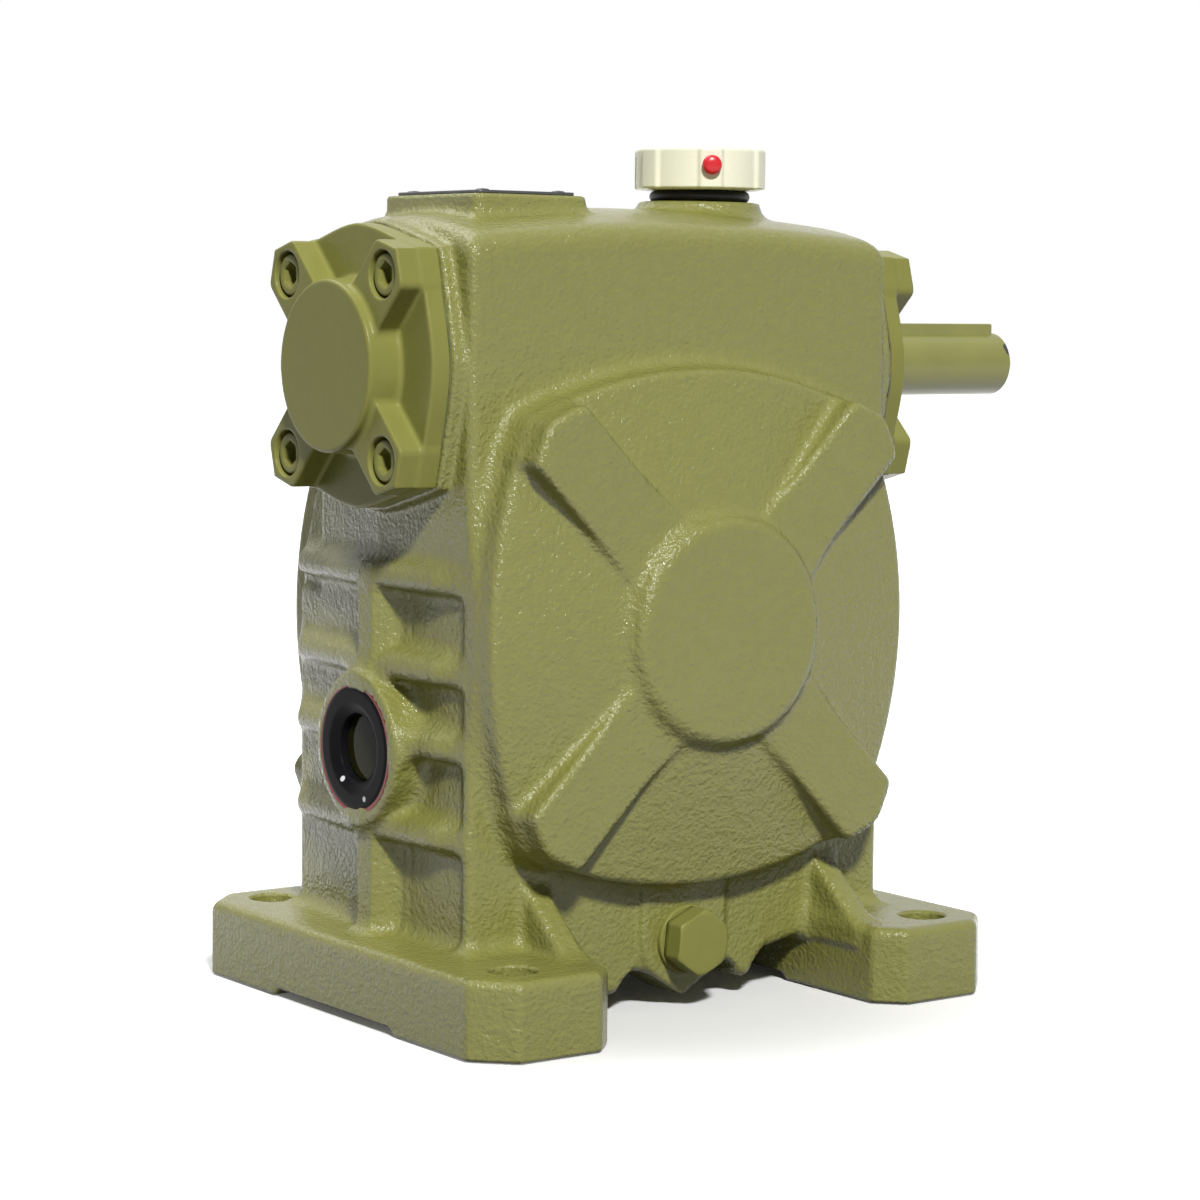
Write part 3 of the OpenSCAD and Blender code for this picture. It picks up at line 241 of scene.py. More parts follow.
def surface_net(d, origin, step):
    """Points and quads where a grid of distances changes sign.

    Every grid edge with a change of sign crosses the surface at one point. A cell's vertex is
    the mean of the crossings on its twelve edges, and each crossed edge gives one quad between
    the four cells round it."""
    cells = np.array(d.shape) - 1
    total = np.zeros((cells.prod(), 3), dtype=np.float64)
    count = np.zeros(cells.prod())
    quads = []
    for axis in range(3):
        a = np.take(d, np.arange(d.shape[axis] - 1), axis=axis)
        b = np.take(d, np.arange(1, d.shape[axis]), axis=axis)
        at = np.argwhere((a < 0) != (b < 0))
        va, vb = a[tuple(at.T)], b[tuple(at.T)]
        point = at.astype(float)
        point[:, axis] += va / (va - vb)
        u, v = np.eye(3, dtype=int)[(axis + 1) % 3], np.eye(3, dtype=int)[(axis + 2) % 3]
        ring = [np.ravel_multi_index(tuple((at - o).T), cells) for o in (0 * u, u, u + v, v)]
        for cell in ring:
            np.add.at(total, cell, point)
            np.add.at(count, cell, 1)
        quad = np.stack(ring, axis=1)
        quads.append(np.where((va < 0)[:, None], quad, quad[:, ::-1]))
    used = np.flatnonzero(count)
    number = np.full(len(count), -1)
    number[used] = np.arange(len(used))
    points = total[used] / count[used, None] * step + origin
    return points, number[np.concatenate(quads)]


def cast_piece(name, casting, low, high, step, **rest):
    """Mesh of a casting: surface net, two steps on to the true surface, normals from its slope."""
    axes = [np.arange(lo - step, hi + 2 * step, step) for lo, hi in zip(low, high)]
    points, quads = surface_net(casting.on_grid(axes), np.array([a[0] for a in axes]), step)
    for _ in range(2):
        g = casting.slope(points, step * 0.2)
        move = casting.at(points)[:, None] * g / np.maximum((g * g).sum(axis=1), 0.2)[:, None]
        far = np.maximum(np.linalg.norm(move, axis=1) / (0.6 * step), 1)
        points = points - move / far[:, None]
    g = casting.slope(points, step * 0.3)
    normals = g / np.maximum(np.linalg.norm(g, axis=1), 1e-6)[:, None]
    print(f"{name}: {len(points)} points, {2 * len(quads)} triangles")
    return new_piece(name, points, [quads], normals=normals, **rest)


print("distance forms ready")

# %% [markdown]
# ## Finishes
# Every finish is a small network of shader nodes on Object coordinates, so that it is the
# same from all sides. The paint on the casting is sprayed over sand-cast iron: a glossy skin
# that follows the pebbled sand. It could be a photographed texture, but noise at the real
# grain sizes does it without an image, and it never repeats.

# %% Shader helpers
class Value:
    """A number on the node sheet. Arithmetic on it adds Math nodes."""

    def __init__(self, sheet, socket):
        self.sheet, self.socket = sheet, socket

    def _math(self, operation, first, second=0.0, clamp=False):
        return self.sheet.node("ShaderNodeMath", {"operation": operation, "use_clamp": clamp},
                               {0: first, 1: second})

    def __add__(self, other): return self._math("ADD", self, other)
    def __radd__(self, other): return self._math("ADD", other, self)
    def __sub__(self, other): return self._math("SUBTRACT", self, other)
    def __rsub__(self, other): return self._math("SUBTRACT", other, self)
    def __mul__(self, other): return self._math("MULTIPLY", self, other)
    def __rmul__(self, other): return self._math("MULTIPLY", other, self)
    def __pow__(self, other): return self._math("POWER", self, other)
    def clip(self): return self._math("ADD", self, 0.0, clamp=True)


class Sheet:
    """A sheet of shader nodes, of a material or of the world."""

    def __init__(self, tree):
        self.nodes, self.links = tree.nodes, tree.links

    def feed(self, socket, value):
        if isinstance(value, Value):
            self.links.new(value.socket, socket)
        elif isinstance(value, tuple) and len(value) == 3 and socket.type == "RGBA":
            socket.default_value = (*value, 1)
        else:
            socket.default_value = value

    def node(self, kind, settings=None, inputs=None, out=0):
        """One node of any kind: its settings first, then its sockets' values or links."""
        node = self.nodes.new(kind)
        for key, value in (settings or {}).items():
            setattr(node, key, value)
        for socket, value in (inputs or {}).items():
            self.feed(node.inputs[socket], value)
        return Value(self, node.outputs[out])

    def seen(self):
        """1 for rays from the camera, a mirror or glass, which see the white room, else 0."""
        rays = [self.node("ShaderNodeLightPath", out=f"Is {kind} Ray")
                for kind in ("Camera", "Glossy", "Transmission")]
        return (rays[0] + rays[1] + rays[2]).clip()


class Finish(Sheet):
    """A material and its node sheet, with the shader it starts from."""

    def __init__(self, name, **settings):
        self.material = bpy.data.materials.new(name)
        self.material.use_nodes = True
        super().__init__(self.material.node_tree)
        self.shader = self.nodes["Principled BSDF"]
        for socket, value in settings.items():
            self.set(socket.replace("_", " "), value)

    def set(self, socket, value):
        """One socket of the shader gets a number, a colour or a node's result."""
        self.feed(self.shader.inputs[socket], value)

    def place(self):
        return self.node("ShaderNodeTexCoord", out="Object")

    def noise(self, size, detail=2.0, rough=0.5):
        """Noise whose blobs are about size millimetres across, from 0 to 1."""
        return self.node("ShaderNodeTexNoise", {}, {"Vector": self.place(), "Scale": 1000.0 / size,
                         "Detail": detail, "Roughness": rough})

    def step(self, value, low, high):
        """0 below low, 1 above high and smooth between."""
        return self.node("ShaderNodeMapRange", {"interpolation_type": "SMOOTHSTEP"},
                         {"Value": value, "From Min": low, "From Max": high})

    def mix(self, factor, first, second):
        """Colour that goes from first to second with factor."""
        return self.node("ShaderNodeMix", {"data_type": "RGBA"}, {0: factor, 6: first, 7: second}, out=2)

    def axes(self):
        """The three coordinates in millimetres."""
        split = self.nodes.new("ShaderNodeSeparateXYZ")
        self.links.new(self.place().socket, split.inputs[0])
        return [Value(self, split.outputs[i]) * 1000.0 for i in range(3)]

    def bump(self, height, depth):
        """Bump from a height of 0 to 1 that stands for depth millimetres."""
        settings = {"Strength": 1.0, "Distance": depth * MM, "Height": height}
        self.set("Normal", self.node("ShaderNodeBump", {}, settings))
        return self


print("shader helpers ready")

# %% Olive paint
OLIVE = (0.250, 0.248, 0.064)
OLIVE_DEEP = (0.172, 0.171, 0.042)
OLIVE_WORN = (0.300, 0.300, 0.105)


def olive_paint(name, pebble, depth, roughness, mirror):
    """Glossy paint over cast iron: pebbled by the sand, with painted shade that darkens its hollows a little.
    """
    f = Finish(name, Specular_IOR_Level=mirror)
    fine, grain, wave = f.noise(pebble, 3.0, 0.55), f.noise(pebble * 2.6, 2.0, 0.5), f.noise(24.0, 1.0)
    height = fine * 0.5 + grain * 0.35 + wave * 0.15
    # painted shade: where the grain is low, in the pebble's hollows, the colour goes towards OLIVE_DEEP
    tone = f.mix(f.step(grain, 0.25, 0.75), OLIVE_DEEP, OLIVE)
    patch = f.noise(38.0, 3.0)
    coat = f.mix(0.85, tone, OLIVE)
    f.set("Base Color", f.mix(f.step(patch, 0.45, 0.8) * 0.12, coat, OLIVE_WORN))
    f.set("Roughness", roughness + (patch - 0.5) * 0.12)
    f.bump(height, depth)
    return f.material


cast_paint = olive_paint("cast_olive_paint", 1.1, 0.95, 0.19, 0.36)
cover_paint = olive_paint("cover_olive_paint", 1.4, 0.4, 0.26, 0.3)
smooth_paint = olive_paint("smooth_olive_paint", 1.6, 0.12, 0.34, 0.14)
print("paints:", cast_paint.name, cover_paint.name, smooth_paint.name)

# %% [markdown]
# ## The housing
# The housing is one sand casting. Its forms are joined and cut in the order listed here,
# because a cut only takes from what stands before it. Each joins the rest with a fillet whose
# size was set on the photo.

# %% Housing forms
housing = Casting()
FRONT_Y, PARTING_Y, SEAT_Y = -35.0, 3.0, 45.0
BODY_HALF, REAR_DRAFT = 60.6, 4.1
FOOT_INNER, FOOT_X, FOOT_Y, FOOT_TOP = 38.6, 75.0, 65.0, 18.0
BOLT_X, BOLT_Y, BOLT_HOLE_R = 60.0, 52.5, 5.5
FACE_HALF, FACE_EDGE_Y, FACE_SLOPE, BAR_FRONT_Y, BOSS_FRONT_Y = 60.0, -43.2, 0.189, -49.6, -53.3
RIBS = (43.7, 64.4, 81.6, 102.3)
RIDGE_OUT = 4.6
SIGHT_X, SIGHT_Z = -67.0, 61.4
PAD_TOP, PLATE_X, FILLER_X = 189.5, -33.5, 29.6
COVER_SLOPE, CAP_SLOPE = 0.444, 0.573


def wheel_r(x, z):
    """Distance from the wheel axis."""
    return np.hypot(x, z - WHEEL_Z)


def sight_r(y, z):
    """Distance from the axis of the sight glass."""
    return np.hypot(y - PARTING_Y, z - SIGHT_Z)


def side_half(y):
    """Half width of the body: full up to the parting line, then drawn in to the rear seat."""
    return BODY_HALF - REAR_DRAFT * np.clip((y - PARTING_Y) / (SEAT_Y - PARTING_Y), 0, 1)


def foot(x, y, z):
    """Foot rail: an eight-sided outline, round along its top and nearly sharp at its sole."""
    u, v = np.abs(x), np.abs(y)
    corners = (u + v - 131.5) * 0.707, (v - u - 20.4) * 0.707
    outline = edge(0.6, slab(u, FOOT_INNER, FOOT_X), v - FOOT_Y, *corners)
    return edge(0.5, edge(2.2, outline, z - FOOT_TOP), -z)


def walls(x, y, z):
    """Box of the lower housing, its upright corners only lightly rounded."""
    return edge(1.0, edge(2.2, np.abs(x) - side_half(y), FRONT_Y - y), y - 48, slab(z, 15, 95))


def neck(x, y, z):
    """Walls between the lower box and the worm tunnel."""
    return edge(2.2, np.abs(x) - side_half(y), np.abs(y) + FRONT_Y) + 0 * z


def cover_seat(x, y, z):
    """Seat of the rear cover: a bulged square with four lugs."""
    a, b = x, z - WHEEL_Z
    outline = np.minimum(bulged_square(a, b, 56, 120, 5), four_lugs(a, b, 9.5, 69.5, COVER_SLOPE, 2))
    return edge(0.8, outline, slab(y, 0, 48))


def tunnel(x, y, z):
    """Worm tunnel: flat sides and a top that is arched both ways, round along its edges."""
    arch = np.hypot(y, z + x * x / 1120 - 67.5) - 120
    return edge(4.2, edge(2.2, np.abs(x) - side_half(y), np.abs(y) + FRONT_Y), arch)


def end_pad(x, y, z):
    """Machined pads at both ends, a little larger than the caps that sit on them."""
    b = z - WORM_Z
    outline = edge(2.0, bulged_square(y, b, 33.7, 80, 3), four_lugs(y, b, 60, 38.7, CAP_SLOPE, 2))
    return edge(1.1, outline, slab(np.abs(x), 50, 64))


def face_outline(x, y, z):
    """Side of the closed front face: a bulged square that widens a little towards the wall."""
    return bulged_square(x, z - WHEEL_Z, FACE_HALF + 0.07 * (y - FACE_EDGE_Y), 112, 1.2)


def face(x, y, z):
    """Closed front face: a shallow cone, cut off along the bulged square."""
    r = wheel_r(x, z)
    front = FACE_EDGE_Y - FACE_SLOPE * np.minimum(FACE_HALF - r, 33) - y
    return np.maximum(edge(1.5, face_outline(x, y, z), front * 0.98), y + 33)


def face_pads(x, y, z):
    """Four raised bars at 45 degrees that end at the face's own outline."""
    across = np.abs(np.abs(x) - np.abs(z - WHEEL_Z)) * math.sqrt(0.5) - 9.5
    return np.maximum(edge(1.3, edge(1.3, across, face_outline(x, y, z)), BAR_FRONT_Y - y), y + 33)


def face_boss(x, y, z):
    return edge(2.4, wheel_r(x, z) - 26.2, BOSS_FRONT_Y - y)


def sump(x, y, z):
    """Sump between the feet, flush with the front wall, its underside slightly curved."""
    bottom = 8.4 + x * x / 308 - z
    return edge(1.0, edge(2.4, np.abs(x) - 42.6, FRONT_Y - y, bottom), y - 48, z - 36)


def fins(x, y, z):
    """Two fins under the sump that narrow towards their rounded tips."""
    half = 2.1 + 0.16 * (z - 3.9)
    return edge(2.6, edge(2.0, np.abs(np.abs(x) - 19.5) - half, FRONT_Y - y), 3.9 - z, y - 44.5)


def drain_boss(x, y, z):
    """Upright swelling behind the drain plug, pointed below."""
    point = (0.62 * np.abs(x) + 2.4 - z) * 0.85
    return edge(1.0, edge(5.0, np.abs(x) - 12.3, point), slab(y, -36.5, -20))


def web(sign, reach):
    """Gusset on a foot; its upper edge falls straight from the wall and runs out on the foot."""
    def form(x, y, z):
        top = FOOT_TOP + 0.84 * (reach - sign * y)
        return edge(1.8, slab(np.abs(x), 38.7, 45.6), (z - top) * 0.77, sign * y - reach - 1)
    return form


def side_pocket(x, y, z):
    """Shallow recess of the side wall between the front corner and the upright ridge."""
    return edge(2.0, 59.1 - np.abs(x), slab(y, -31, -3.5), slab(z, 10, 100))


def level_rib(middle):
    """Rib with a sloping top and a level underside, tallest at the mould's parting line."""
    def form(x, y, z):
        u, half = np.abs(x), side_half(y)
        rise = np.interp(y, (-32, -24, 1, 5, 44), (0, 2.8, 4.5, 4.5, 2.3))
        top = (z - middle - 1.9 - 0.55 * (half + rise - u)) * 0.88
        return edge(2.2, (u - half - rise) * 0.97, top, middle - 3.2 - z, slab(y, -33, 44))
    return form


def ridge(x, y, z):
    """Upright ridge on the parting line: a long slope in front and a short one behind."""
    rise = np.interp(y, (-5.5, -1.0, 5, 6.2), (-1.9, 4.3, RIDGE_OUT, 0))
    return edge(0.9, (np.abs(x) - BODY_HALF - rise) * 0.8, slab(y, -7, 8), slab(z, 12, 104.5))


def sight_boss(x, y, z):
    return edge(1.0, sight_r(y, z) - 17.4, slab(x, SIGHT_X, -52))


def sight_bore(x, y, z):
    """Bore behind the sight glass, and a recess just smaller than the ring that covers it."""
    r = sight_r(y, z)
    return np.minimum(np.maximum(r - 11.6, x - SIGHT_X - 9.5), np.maximum(r - 13.8, x - SIGHT_X - 1.4))


def filler_boss(x, y, z):
    return edge(0.9, np.hypot(x - FILLER_X, y) - 14.8, slab(z, 176, PAD_TOP))


def plate_pad(x, y, z):
    return edge(0.8, edge(2.2, np.abs(x - PLATE_X) - 15.75, np.abs(y) - 19.7), slab(z, 174, PAD_TOP))


def beyond_sides(x, y, z):
    """All that lies past the side walls; it trims what is joined before the end pads."""
    return side_half(y) - np.abs(x) + 0 * z


def before_front(x, y, z):
    """All that lies in front of the front wall; it trims the fins."""
    return y - FRONT_Y + 0 * x + 0 * z


def behind_seat(x, y, z):
    """All that lies behind the rear cover's seat."""
    return SEAT_Y - y + 0 * x


def bolt_holes(x, y, z):
    return np.hypot(np.abs(x) - BOLT_X, np.abs(y) - BOLT_Y) - BOLT_HOLE_R + 0 * z


def sole_step(x, y, z):
    """Shallow step that leaves only the ends of each foot on the ground."""
    return edge(1.5, slab(y, -26, 26), z - 1.5) + 0 * x


housing.join(neck, 0, (-64, -39, 85), (64, 39, 150))
housing.join(walls, 0, (-64, -39, 5), (64, 52, 100))
housing.join(tunnel, 0, (-64, -39, 145), (64, 39, 192))
housing.join(cover_seat, 2.5, (-66, 1, 20), (66, 50, 165))
housing.join(face, 4.5, (-74, -60, 18), (74, -31, 162))
housing.join(face_pads, 2.6, (-74, -60, 18), (74, -31, 162))
housing.join(face_boss, 3.4, (-36, -60, 55), (36, -40, 125))
housing.cut(beyond_sides, 0)
housing.join(end_pad, 1.4, (-70, -44, 106), (70, 44, 192))
housing.join(sump, 0, (-48, -39, 0), (48, 50, 42))
housing.join(fins, 4.0, (-30, -42, -2), (30, 50, 22))
housing.cut(before_front, 0, (-30, -44, -2), (30, -20, 22))
housing.cut(side_pocket, 3.4, (-64, -38, 12), (64, 4, 110))
for middle in RIBS:
    housing.join(level_rib(middle), 2.6, (-72, -38, middle - 16), (72, 50, middle + 18))
housing.join(ridge, 1.6, (-72, -14, 14), (72, 16, 112))
housing.cut(behind_seat, 0.8)
housing.join(foot, 4.5, (-80, -70, -6), (80, 70, 26))
housing.join(drain_boss, 2.0, (-22, -44, -4), (22, -18, 44))
housing.join(web(-1, 52.5), 2.6, (-54, -62, 12), (54, -30, 48))
housing.join(web(1, 59.0), 2.6, (-54, 40, 12), (54, 66, 48))
housing.join(sight_boss, 4.5, (-74, -24, 34), (-44, 30, 88))
housing.join(filler_boss, 4, (8, -22, 172), (50, 22, 194))
housing.join(plate_pad, 2.6, (-58, -28, 172), (-10, 28, 194))
housing.cut(bolt_holes, 0.7, (-70, -62, -6), (70, 62, 26))
housing.cut(sole_step, 0.7, (-80, -34, -6), (80, 34, 6))
housing.cut(sight_bore, 0.5, (-72, -16, 42), (-50, 22, 80))
print("housing forms:", len(housing.forms))

# %% Housing mesh
cast_piece("cast_housing", housing, (-76, -66, -1), (76, 66, 191), 1.25,
           body="housing_body", finish=cast_paint, replaces=("housing",))

# %% [markdown]
# ## Caps and rear cover
# The caps are machined from finer castings: a flange with bulged sides, four lugs at 45
# degrees that carry the screws in counterbores, and a middle boss. The rear cover is the
# same idea at a larger size.

# %% Caps
CAP_BACK, CAP_FLANGE, CAP_LUGS = 64.1, 69.0, 75.0
CLOSED_BOSS, OPEN_BOSS = 77.4, 76.6
CAP_SCREW = 20.72


def worm_r(y, z):
    """Distance from the worm axis."""
    return np.hypot(y, z - WORM_Z)


def worm_cap(out, closed):
    """Cap of one end of the worm; out * x is the distance outwards, and out is -1 if closed."""
    boss_end = CLOSED_BOSS if closed else OPEN_BOSS

    def flange(x, y, z):
        b = z - WORM_Z
        outline = edge(1.0, bulged_square(y, b, 32.5, 80, 2), four_lugs(y, b, 60, 37.5, CAP_SLOPE, 1))
        return edge(0.7, outline, slab(out * x, 60, CAP_FLANGE))

    def lugs(x, y, z):
        return edge(0.6, four_lugs(y, z - WORM_Z, 7.5, 37.5, CAP_SLOPE, 1.0), slab(out * x, 60, CAP_LUGS))

    def boss(x, y, z):
        side = worm_r(y, z) - 20.2 + 0.06 * (out * x - CAP_FLANGE)
        return edge(0.8, side, slab(out * x, 60, boss_end))

    def screw_seats(x, y, z):
        r = np.hypot(np.abs(y) - CAP_SCREW, np.abs(z - WORM_Z) - CAP_SCREW)
        return np.maximum(r - 5.4, 68.6 - out * x)

    cap = Casting()
    cap.join(flange, 0)
    cap.join(lugs, 1.2)
    cap.join(boss, 1.4)
    cap.cut(lambda x, y, z: out * x - CAP_BACK + 0 * y, 0.4)
    if not closed:
        cap.cut(lambda x, y, z: np.maximum(worm_r(y, z) - 15.05, CAP_FLANGE - out * x), 0.5)
        cap.cut(lambda x, y, z: worm_r(y, z) - 11 + 0 * x, 0.3)
    cap.cut(screw_seats, 0.6)
    return cap


for name, out, node in (("closed_cap", -1, "worm_end_cap"), ("seal_cap", 1, "input_cap")):
    ends = sorted((out * 63.9, out * 78.4))
    cast_piece(name, worm_cap(out, out < 0), (ends[0], -38.5, 111.5), (ends[1], 38.5, 188.5), 0.5,
               body="housing_body", finish=smooth_paint, replaces=(node,))

# %% Rear cover
COVER_BACK, COVER_SCREW = 45.5, 42.43


def cover_flange(x, y, z):
    return edge(1.0, bulged_square(x, z - WHEEL_Z, 55, 120, 3), slab(y, 40, 50.7))


def cover_lugs(x, y, z):
    return edge(1.0, four_lugs(x, z - WHEEL_Z, 9, 69.5, COVER_SLOPE, 2), slab(y, 40, 56.5))


def cover_cone(x, y, z):
    """Slope between the flange and the boss."""
    return edge(1.0, wheel_r(x, z) - 40 + 0.92 * (y - COVER_BACK), slab(y, 40, 60)) * 0.8


def cover_boss(x, y, z):
    return edge(1.2, wheel_r(x, z) - 28, slab(y, 40, 62))


def cover_screw_seats(x, y, z):
    r = np.hypot(np.abs(x) - COVER_SCREW, np.abs(z - WHEEL_Z) - COVER_SCREW)
    return np.maximum(r - 7.0, 50.5 - y)


cover = Casting()
cover.join(cover_flange, 0)
cover.join(cover_lugs, 3)
cover.join(cover_cone, 4)
cover.join(cover_boss, 2)
cover.cut(lambda x, y, z: y - COVER_BACK + 0 * x, 0.3)
cover.cut(lambda x, y, z: np.maximum(wheel_r(x, z) - 20.05, 54 - y), 0.5)
cover.cut(lambda x, y, z: wheel_r(x, z) - 14 + 0 * y, 0.5)
cover.cut(cover_screw_seats, 0.8)
cast_piece("rear_cover", cover, (-58, 45, 32), (58, 63, 148), 0.9,
           body="housing_body", finish=cover_paint, replaces=("output_cover",))

# %% [markdown]
# ## Finishes of the small pieces
# Each small piece is one plain material in life: moulded plastic, rubber, sheet metal, bare
# or painted steel. Flat colours would look like toys, so each gets the faint unevenness of
# its own making, from turning lines to moulding sheen.

# %% Plain finishes
def plain(name, colour, roughness, size=2.0, depth=0.02, spread=0.06, tone=0.12, **settings):
    """One colour with faint changes of tone and gloss, and a shallow grain."""
    f = Finish(name, **settings)
    grain, patch = f.noise(size, 3.0), f.noise(size * 9, 2.0)
    darker = tuple(c * (1 - 2 * tone) for c in colour)
    f.set("Base Color", f.mix(f.step(patch, 0.3, 0.7), darker, colour))
    f.set("Roughness", roughness + (grain - 0.5) * (2 * spread))
    return f.bump(grain, depth).material


def machined(name, colour, axis, roughness, spacing=0.35):
    """Turned steel: fine rings along one axis, from a wave across that coordinate."""
    f = Finish(name, Metallic=1.0)
    along = f.axes()[axis]
    ring = f.node("ShaderNodeMath", {"operation": "SINE"}, {0: along * (6.283 / spacing)}) * 0.5 + 0.5
    patch = f.noise(6.0, 3.0)
    f.set("Base Color", f.mix(patch, tuple(0.8 * c for c in colour), colour))
    f.set("Roughness", roughness + (patch - 0.5) * 0.15)
    return f.bump(ring * 0.5 + patch * 0.5, 0.01).material


def painted_shaft(name, axis, painted_from, chip_at):
    """Steel that is painted beyond the seal, with one ragged chip: noise added to a distance."""
    f = Finish(name)
    place = f.axes()
    along = place[axis]
    away = sum(((c - p) ** 2.0 for c, p in zip(place, chip_at)), 0.0) ** 0.5
    chip = 1.0 - f.step(away + f.noise(1.6, 3.0) * 1.6, 2.6, 2.75)
    paint = f.step(along, painted_from - 0.4, painted_from + 0.4) * (1.0 - chip)
    patch = f.noise(14.0, 3.0)
    steel = f.mix(patch, (0.05, 0.05, 0.048), (0.12, 0.12, 0.115))
    coat = f.mix(f.step(patch, 0.3, 0.7), OLIVE_DEEP, OLIVE)
    f.set("Base Color", f.mix(paint, steel, f.mix(0.7, coat, OLIVE)))
    f.set("Metallic", 0.9 - paint * 0.9)
    f.set("Roughness", 0.34 + (patch - 0.5) * 0.12)
    return f.bump(f.noise(1.6, 2.0), 0.03).material


def dotted_ring(name):
    """Black moulded ring with two white dots, each a distance to a point cut off sharply."""
    f = Finish(name, Roughness=0.38, Specular_IOR_Level=0.15, IOR=1.2)
    x, y, z = f.axes()
    white = 0.0
    for cy, cz in DOTS:
        away = ((y - cy) ** 2.0 + (z - cz) ** 2.0) ** 0.5
        white = (1.0 - f.step(away, 0.55, 0.75)) + white
    outside = 1.0 - f.step(x, SIGHT_X + 0.7, SIGHT_X + 0.9)
    f.set("Base Color", f.mix((white * outside).clip(), (0.008, 0.008, 0.009), (0.85, 0.85, 0.85)))
    return f.bump(f.noise(1.2, 2.0), 0.02).material


DOTS = ((8.4, 53.6), (-1.9, 50.1))
finish = {
    "rubber": plain("black_rubber", (0.012, 0.012, 0.012), 0.42, Specular_IOR_Level=0.2),
    "red_rubber": plain("dark_red_seal", (0.20, 0.008, 0.01), 0.45),
    "cream_plastic": plain("cream_moulded_plastic", (0.95, 0.94, 0.74), 0.28, 3.0, 0.015, 0.03, 0.03),
    "red_plastic": plain("red_moulded_plastic", (0.68, 0.008, 0.016), 0.30, 2.0, 0.01, 0.03, 0.05),
    "gasket": plain("overpainted_gasket", (0.13, 0.134, 0.045), 0.55, 0.8, 0.03),
    "plate": plain("bare_plate", (0.10, 0.10, 0.10), 0.38, 1.0, 0.01, Metallic=0.8),
    "reflector": plain("reflector_disc", (0.34, 0.29, 0.03), 0.25, 1.5, 0.01),
    "cast_iron": plain("rough_cast_iron", (0.10, 0.10, 0.10), 0.62, 1.2, 0.15, Metallic=0.5),
    "bronze": machined("cut_bronze", (0.70, 0.44, 0.16), 1, 0.28),
    "bearing_steel": plain("ground_steel", (0.62, 0.62, 0.63), 0.22, 1.0, 0.005, Metallic=1.0),
    "steel": machined("turned_steel", (0.50, 0.50, 0.50), 1, 0.32),
    "black_plastic": dotted_ring("black_ring_with_dots"),
}
worm_finish = painted_shaft("worm_shaft_paint", 0, 76.0, (127.2, -6.9, 153.9))
output_finish = painted_shaft("output_shaft_paint", 1, 61.5, (7.6, 111.4, 97.6))
glass = Finish("sight_glass", Roughness=0.04, IOR=1.12, Transmission_Weight=0.35)
glass.set("Base Color", glass.mix(glass.noise(9.0, 1.0), (0.004, 0.016, 0.016), (0.07, 0.06, 0.008)))
print("small finishes:", sorted(finish))

# %% [markdown]
# ## Screws
# Cap screws with an inner hexagon, painted over with the caps. One profile is carried
# round; where it dips into the socket its radius follows a hexagon.

# %% Screws
def socket_head(radius, height, flats, depth, centre, axis, start):
    """Head whose socket has radius half the flats over the cosine from a flat's middle."""
    def hexagon(angle, r, h):
        return np.where(r < flats * 0.55, r / np.cos(angle % (np.pi / 3) - np.pi / 6), r)

    half = flats / 2
    profile = soften([(0, -height, 0), (radius, -height, 0.2), (radius, 0, 0.7), (half * 1.35, 0, 0.1),
                      (half * 1.02, -0.35, 0.1), (half, -depth, 0.1), (0, -depth - 0.4, 0)])
    return turned(profile, 72, hexagon, centre, axis, start)


CORNERS = [(a, b) for a in (-1, 1) for b in (-1, 1)]
for name, out, node in (("closed_cap_screws", -1, "worm_end_screws"), ("seal_cap_screws", 1, "input_screws")):
    heads = [socket_head(4.8, 5.6, 5.0, 3.2, (out * 74.2, sy * CAP_SCREW, WORM_Z + sz * CAP_SCREW),
                         (out, 0, 0), (0, 0.9, 0.436)) for sy, sz in CORNERS]
    points, faces = gather(*heads)
    new_piece(name, points, faces, "housing_body", smooth_paint, (node,))
heads = [socket_head(6.3, 7.0, 6.0, 4.0, (sx * COVER_SCREW, 57.5, WHEEL_Z + sz * COVER_SCREW),
                     (0, 1, 0), (1, 0, 0)) for sx, sz in CORNERS]
points, faces = gather(*heads)
new_piece("rear_cover_screws", points, faces, "housing_body", smooth_paint, ("output_screws",))
print("screws made")

# %% [markdown]
# ## Sight glass
# A black moulded ring screws into the boss over a red seal; behind its window sit a glass
# and a bright disc against which the oil is seen.

# %% Sight glass
SIGHT = dict(centre=(SIGHT_X, PARTING_Y, SIGHT_Z), axis=(-1, 0, 0), start=(0, 0, 1))
ring = soften([(8, -9, 0), (11.5, -9, 0.2), (11.5, -1.0, 0), (14.9, -1.0, 0.2), (14.9, -0.1, 0.5),
               (13.8, 0.4, 0.5), (10.6, 0.4, 0.4), (9.6, 0.0, 0.5), (8.0, -0.9, 0.4), (8.0, -9, 0)], 7)
points, faces = turned(ring, 128, **SIGHT)
new_piece("sight_ring", points, faces, "housing_body", finish["black_plastic"], ("sight_glass_ring",))
seal = soften([(11.6, -1.4, 0), (15.05, -1.4, 0.1), (15.05, 0.14, 0.1), (14.0, 0.14, 0),
               (11.6, -1.0, 0), (11.6, -1.4, 0)])
SEAL_SAG = 0.3
seal_place = dict(SIGHT, centre=(SIGHT_X, PARTING_Y, SIGHT_Z - SEAL_SAG))
points, faces = turned(seal, 128, **seal_place)
new_piece("sight_seal", points, faces, "housing_body", finish["red_rubber"], ("sight_glass_seal",))
lens = soften([(0, -5, 0), (7.97, -5, 0.2), (7.97, -2.8, 0.5), (0, -2.4, 0)], 6)
points, faces = turned(lens, 96, **SIGHT)
new_piece("sight_lens", points, faces, "housing_body", glass.material, ("sight_glass_lens",))
print("sight glass made")

# %% [markdown]
# ## Filler cap, ring and vent plug
# The cap is a moulding with six narrow grip lobes and wide faces between them. Its side is
# one function of angle and height; the red plug sits on the lobe that faces half left.

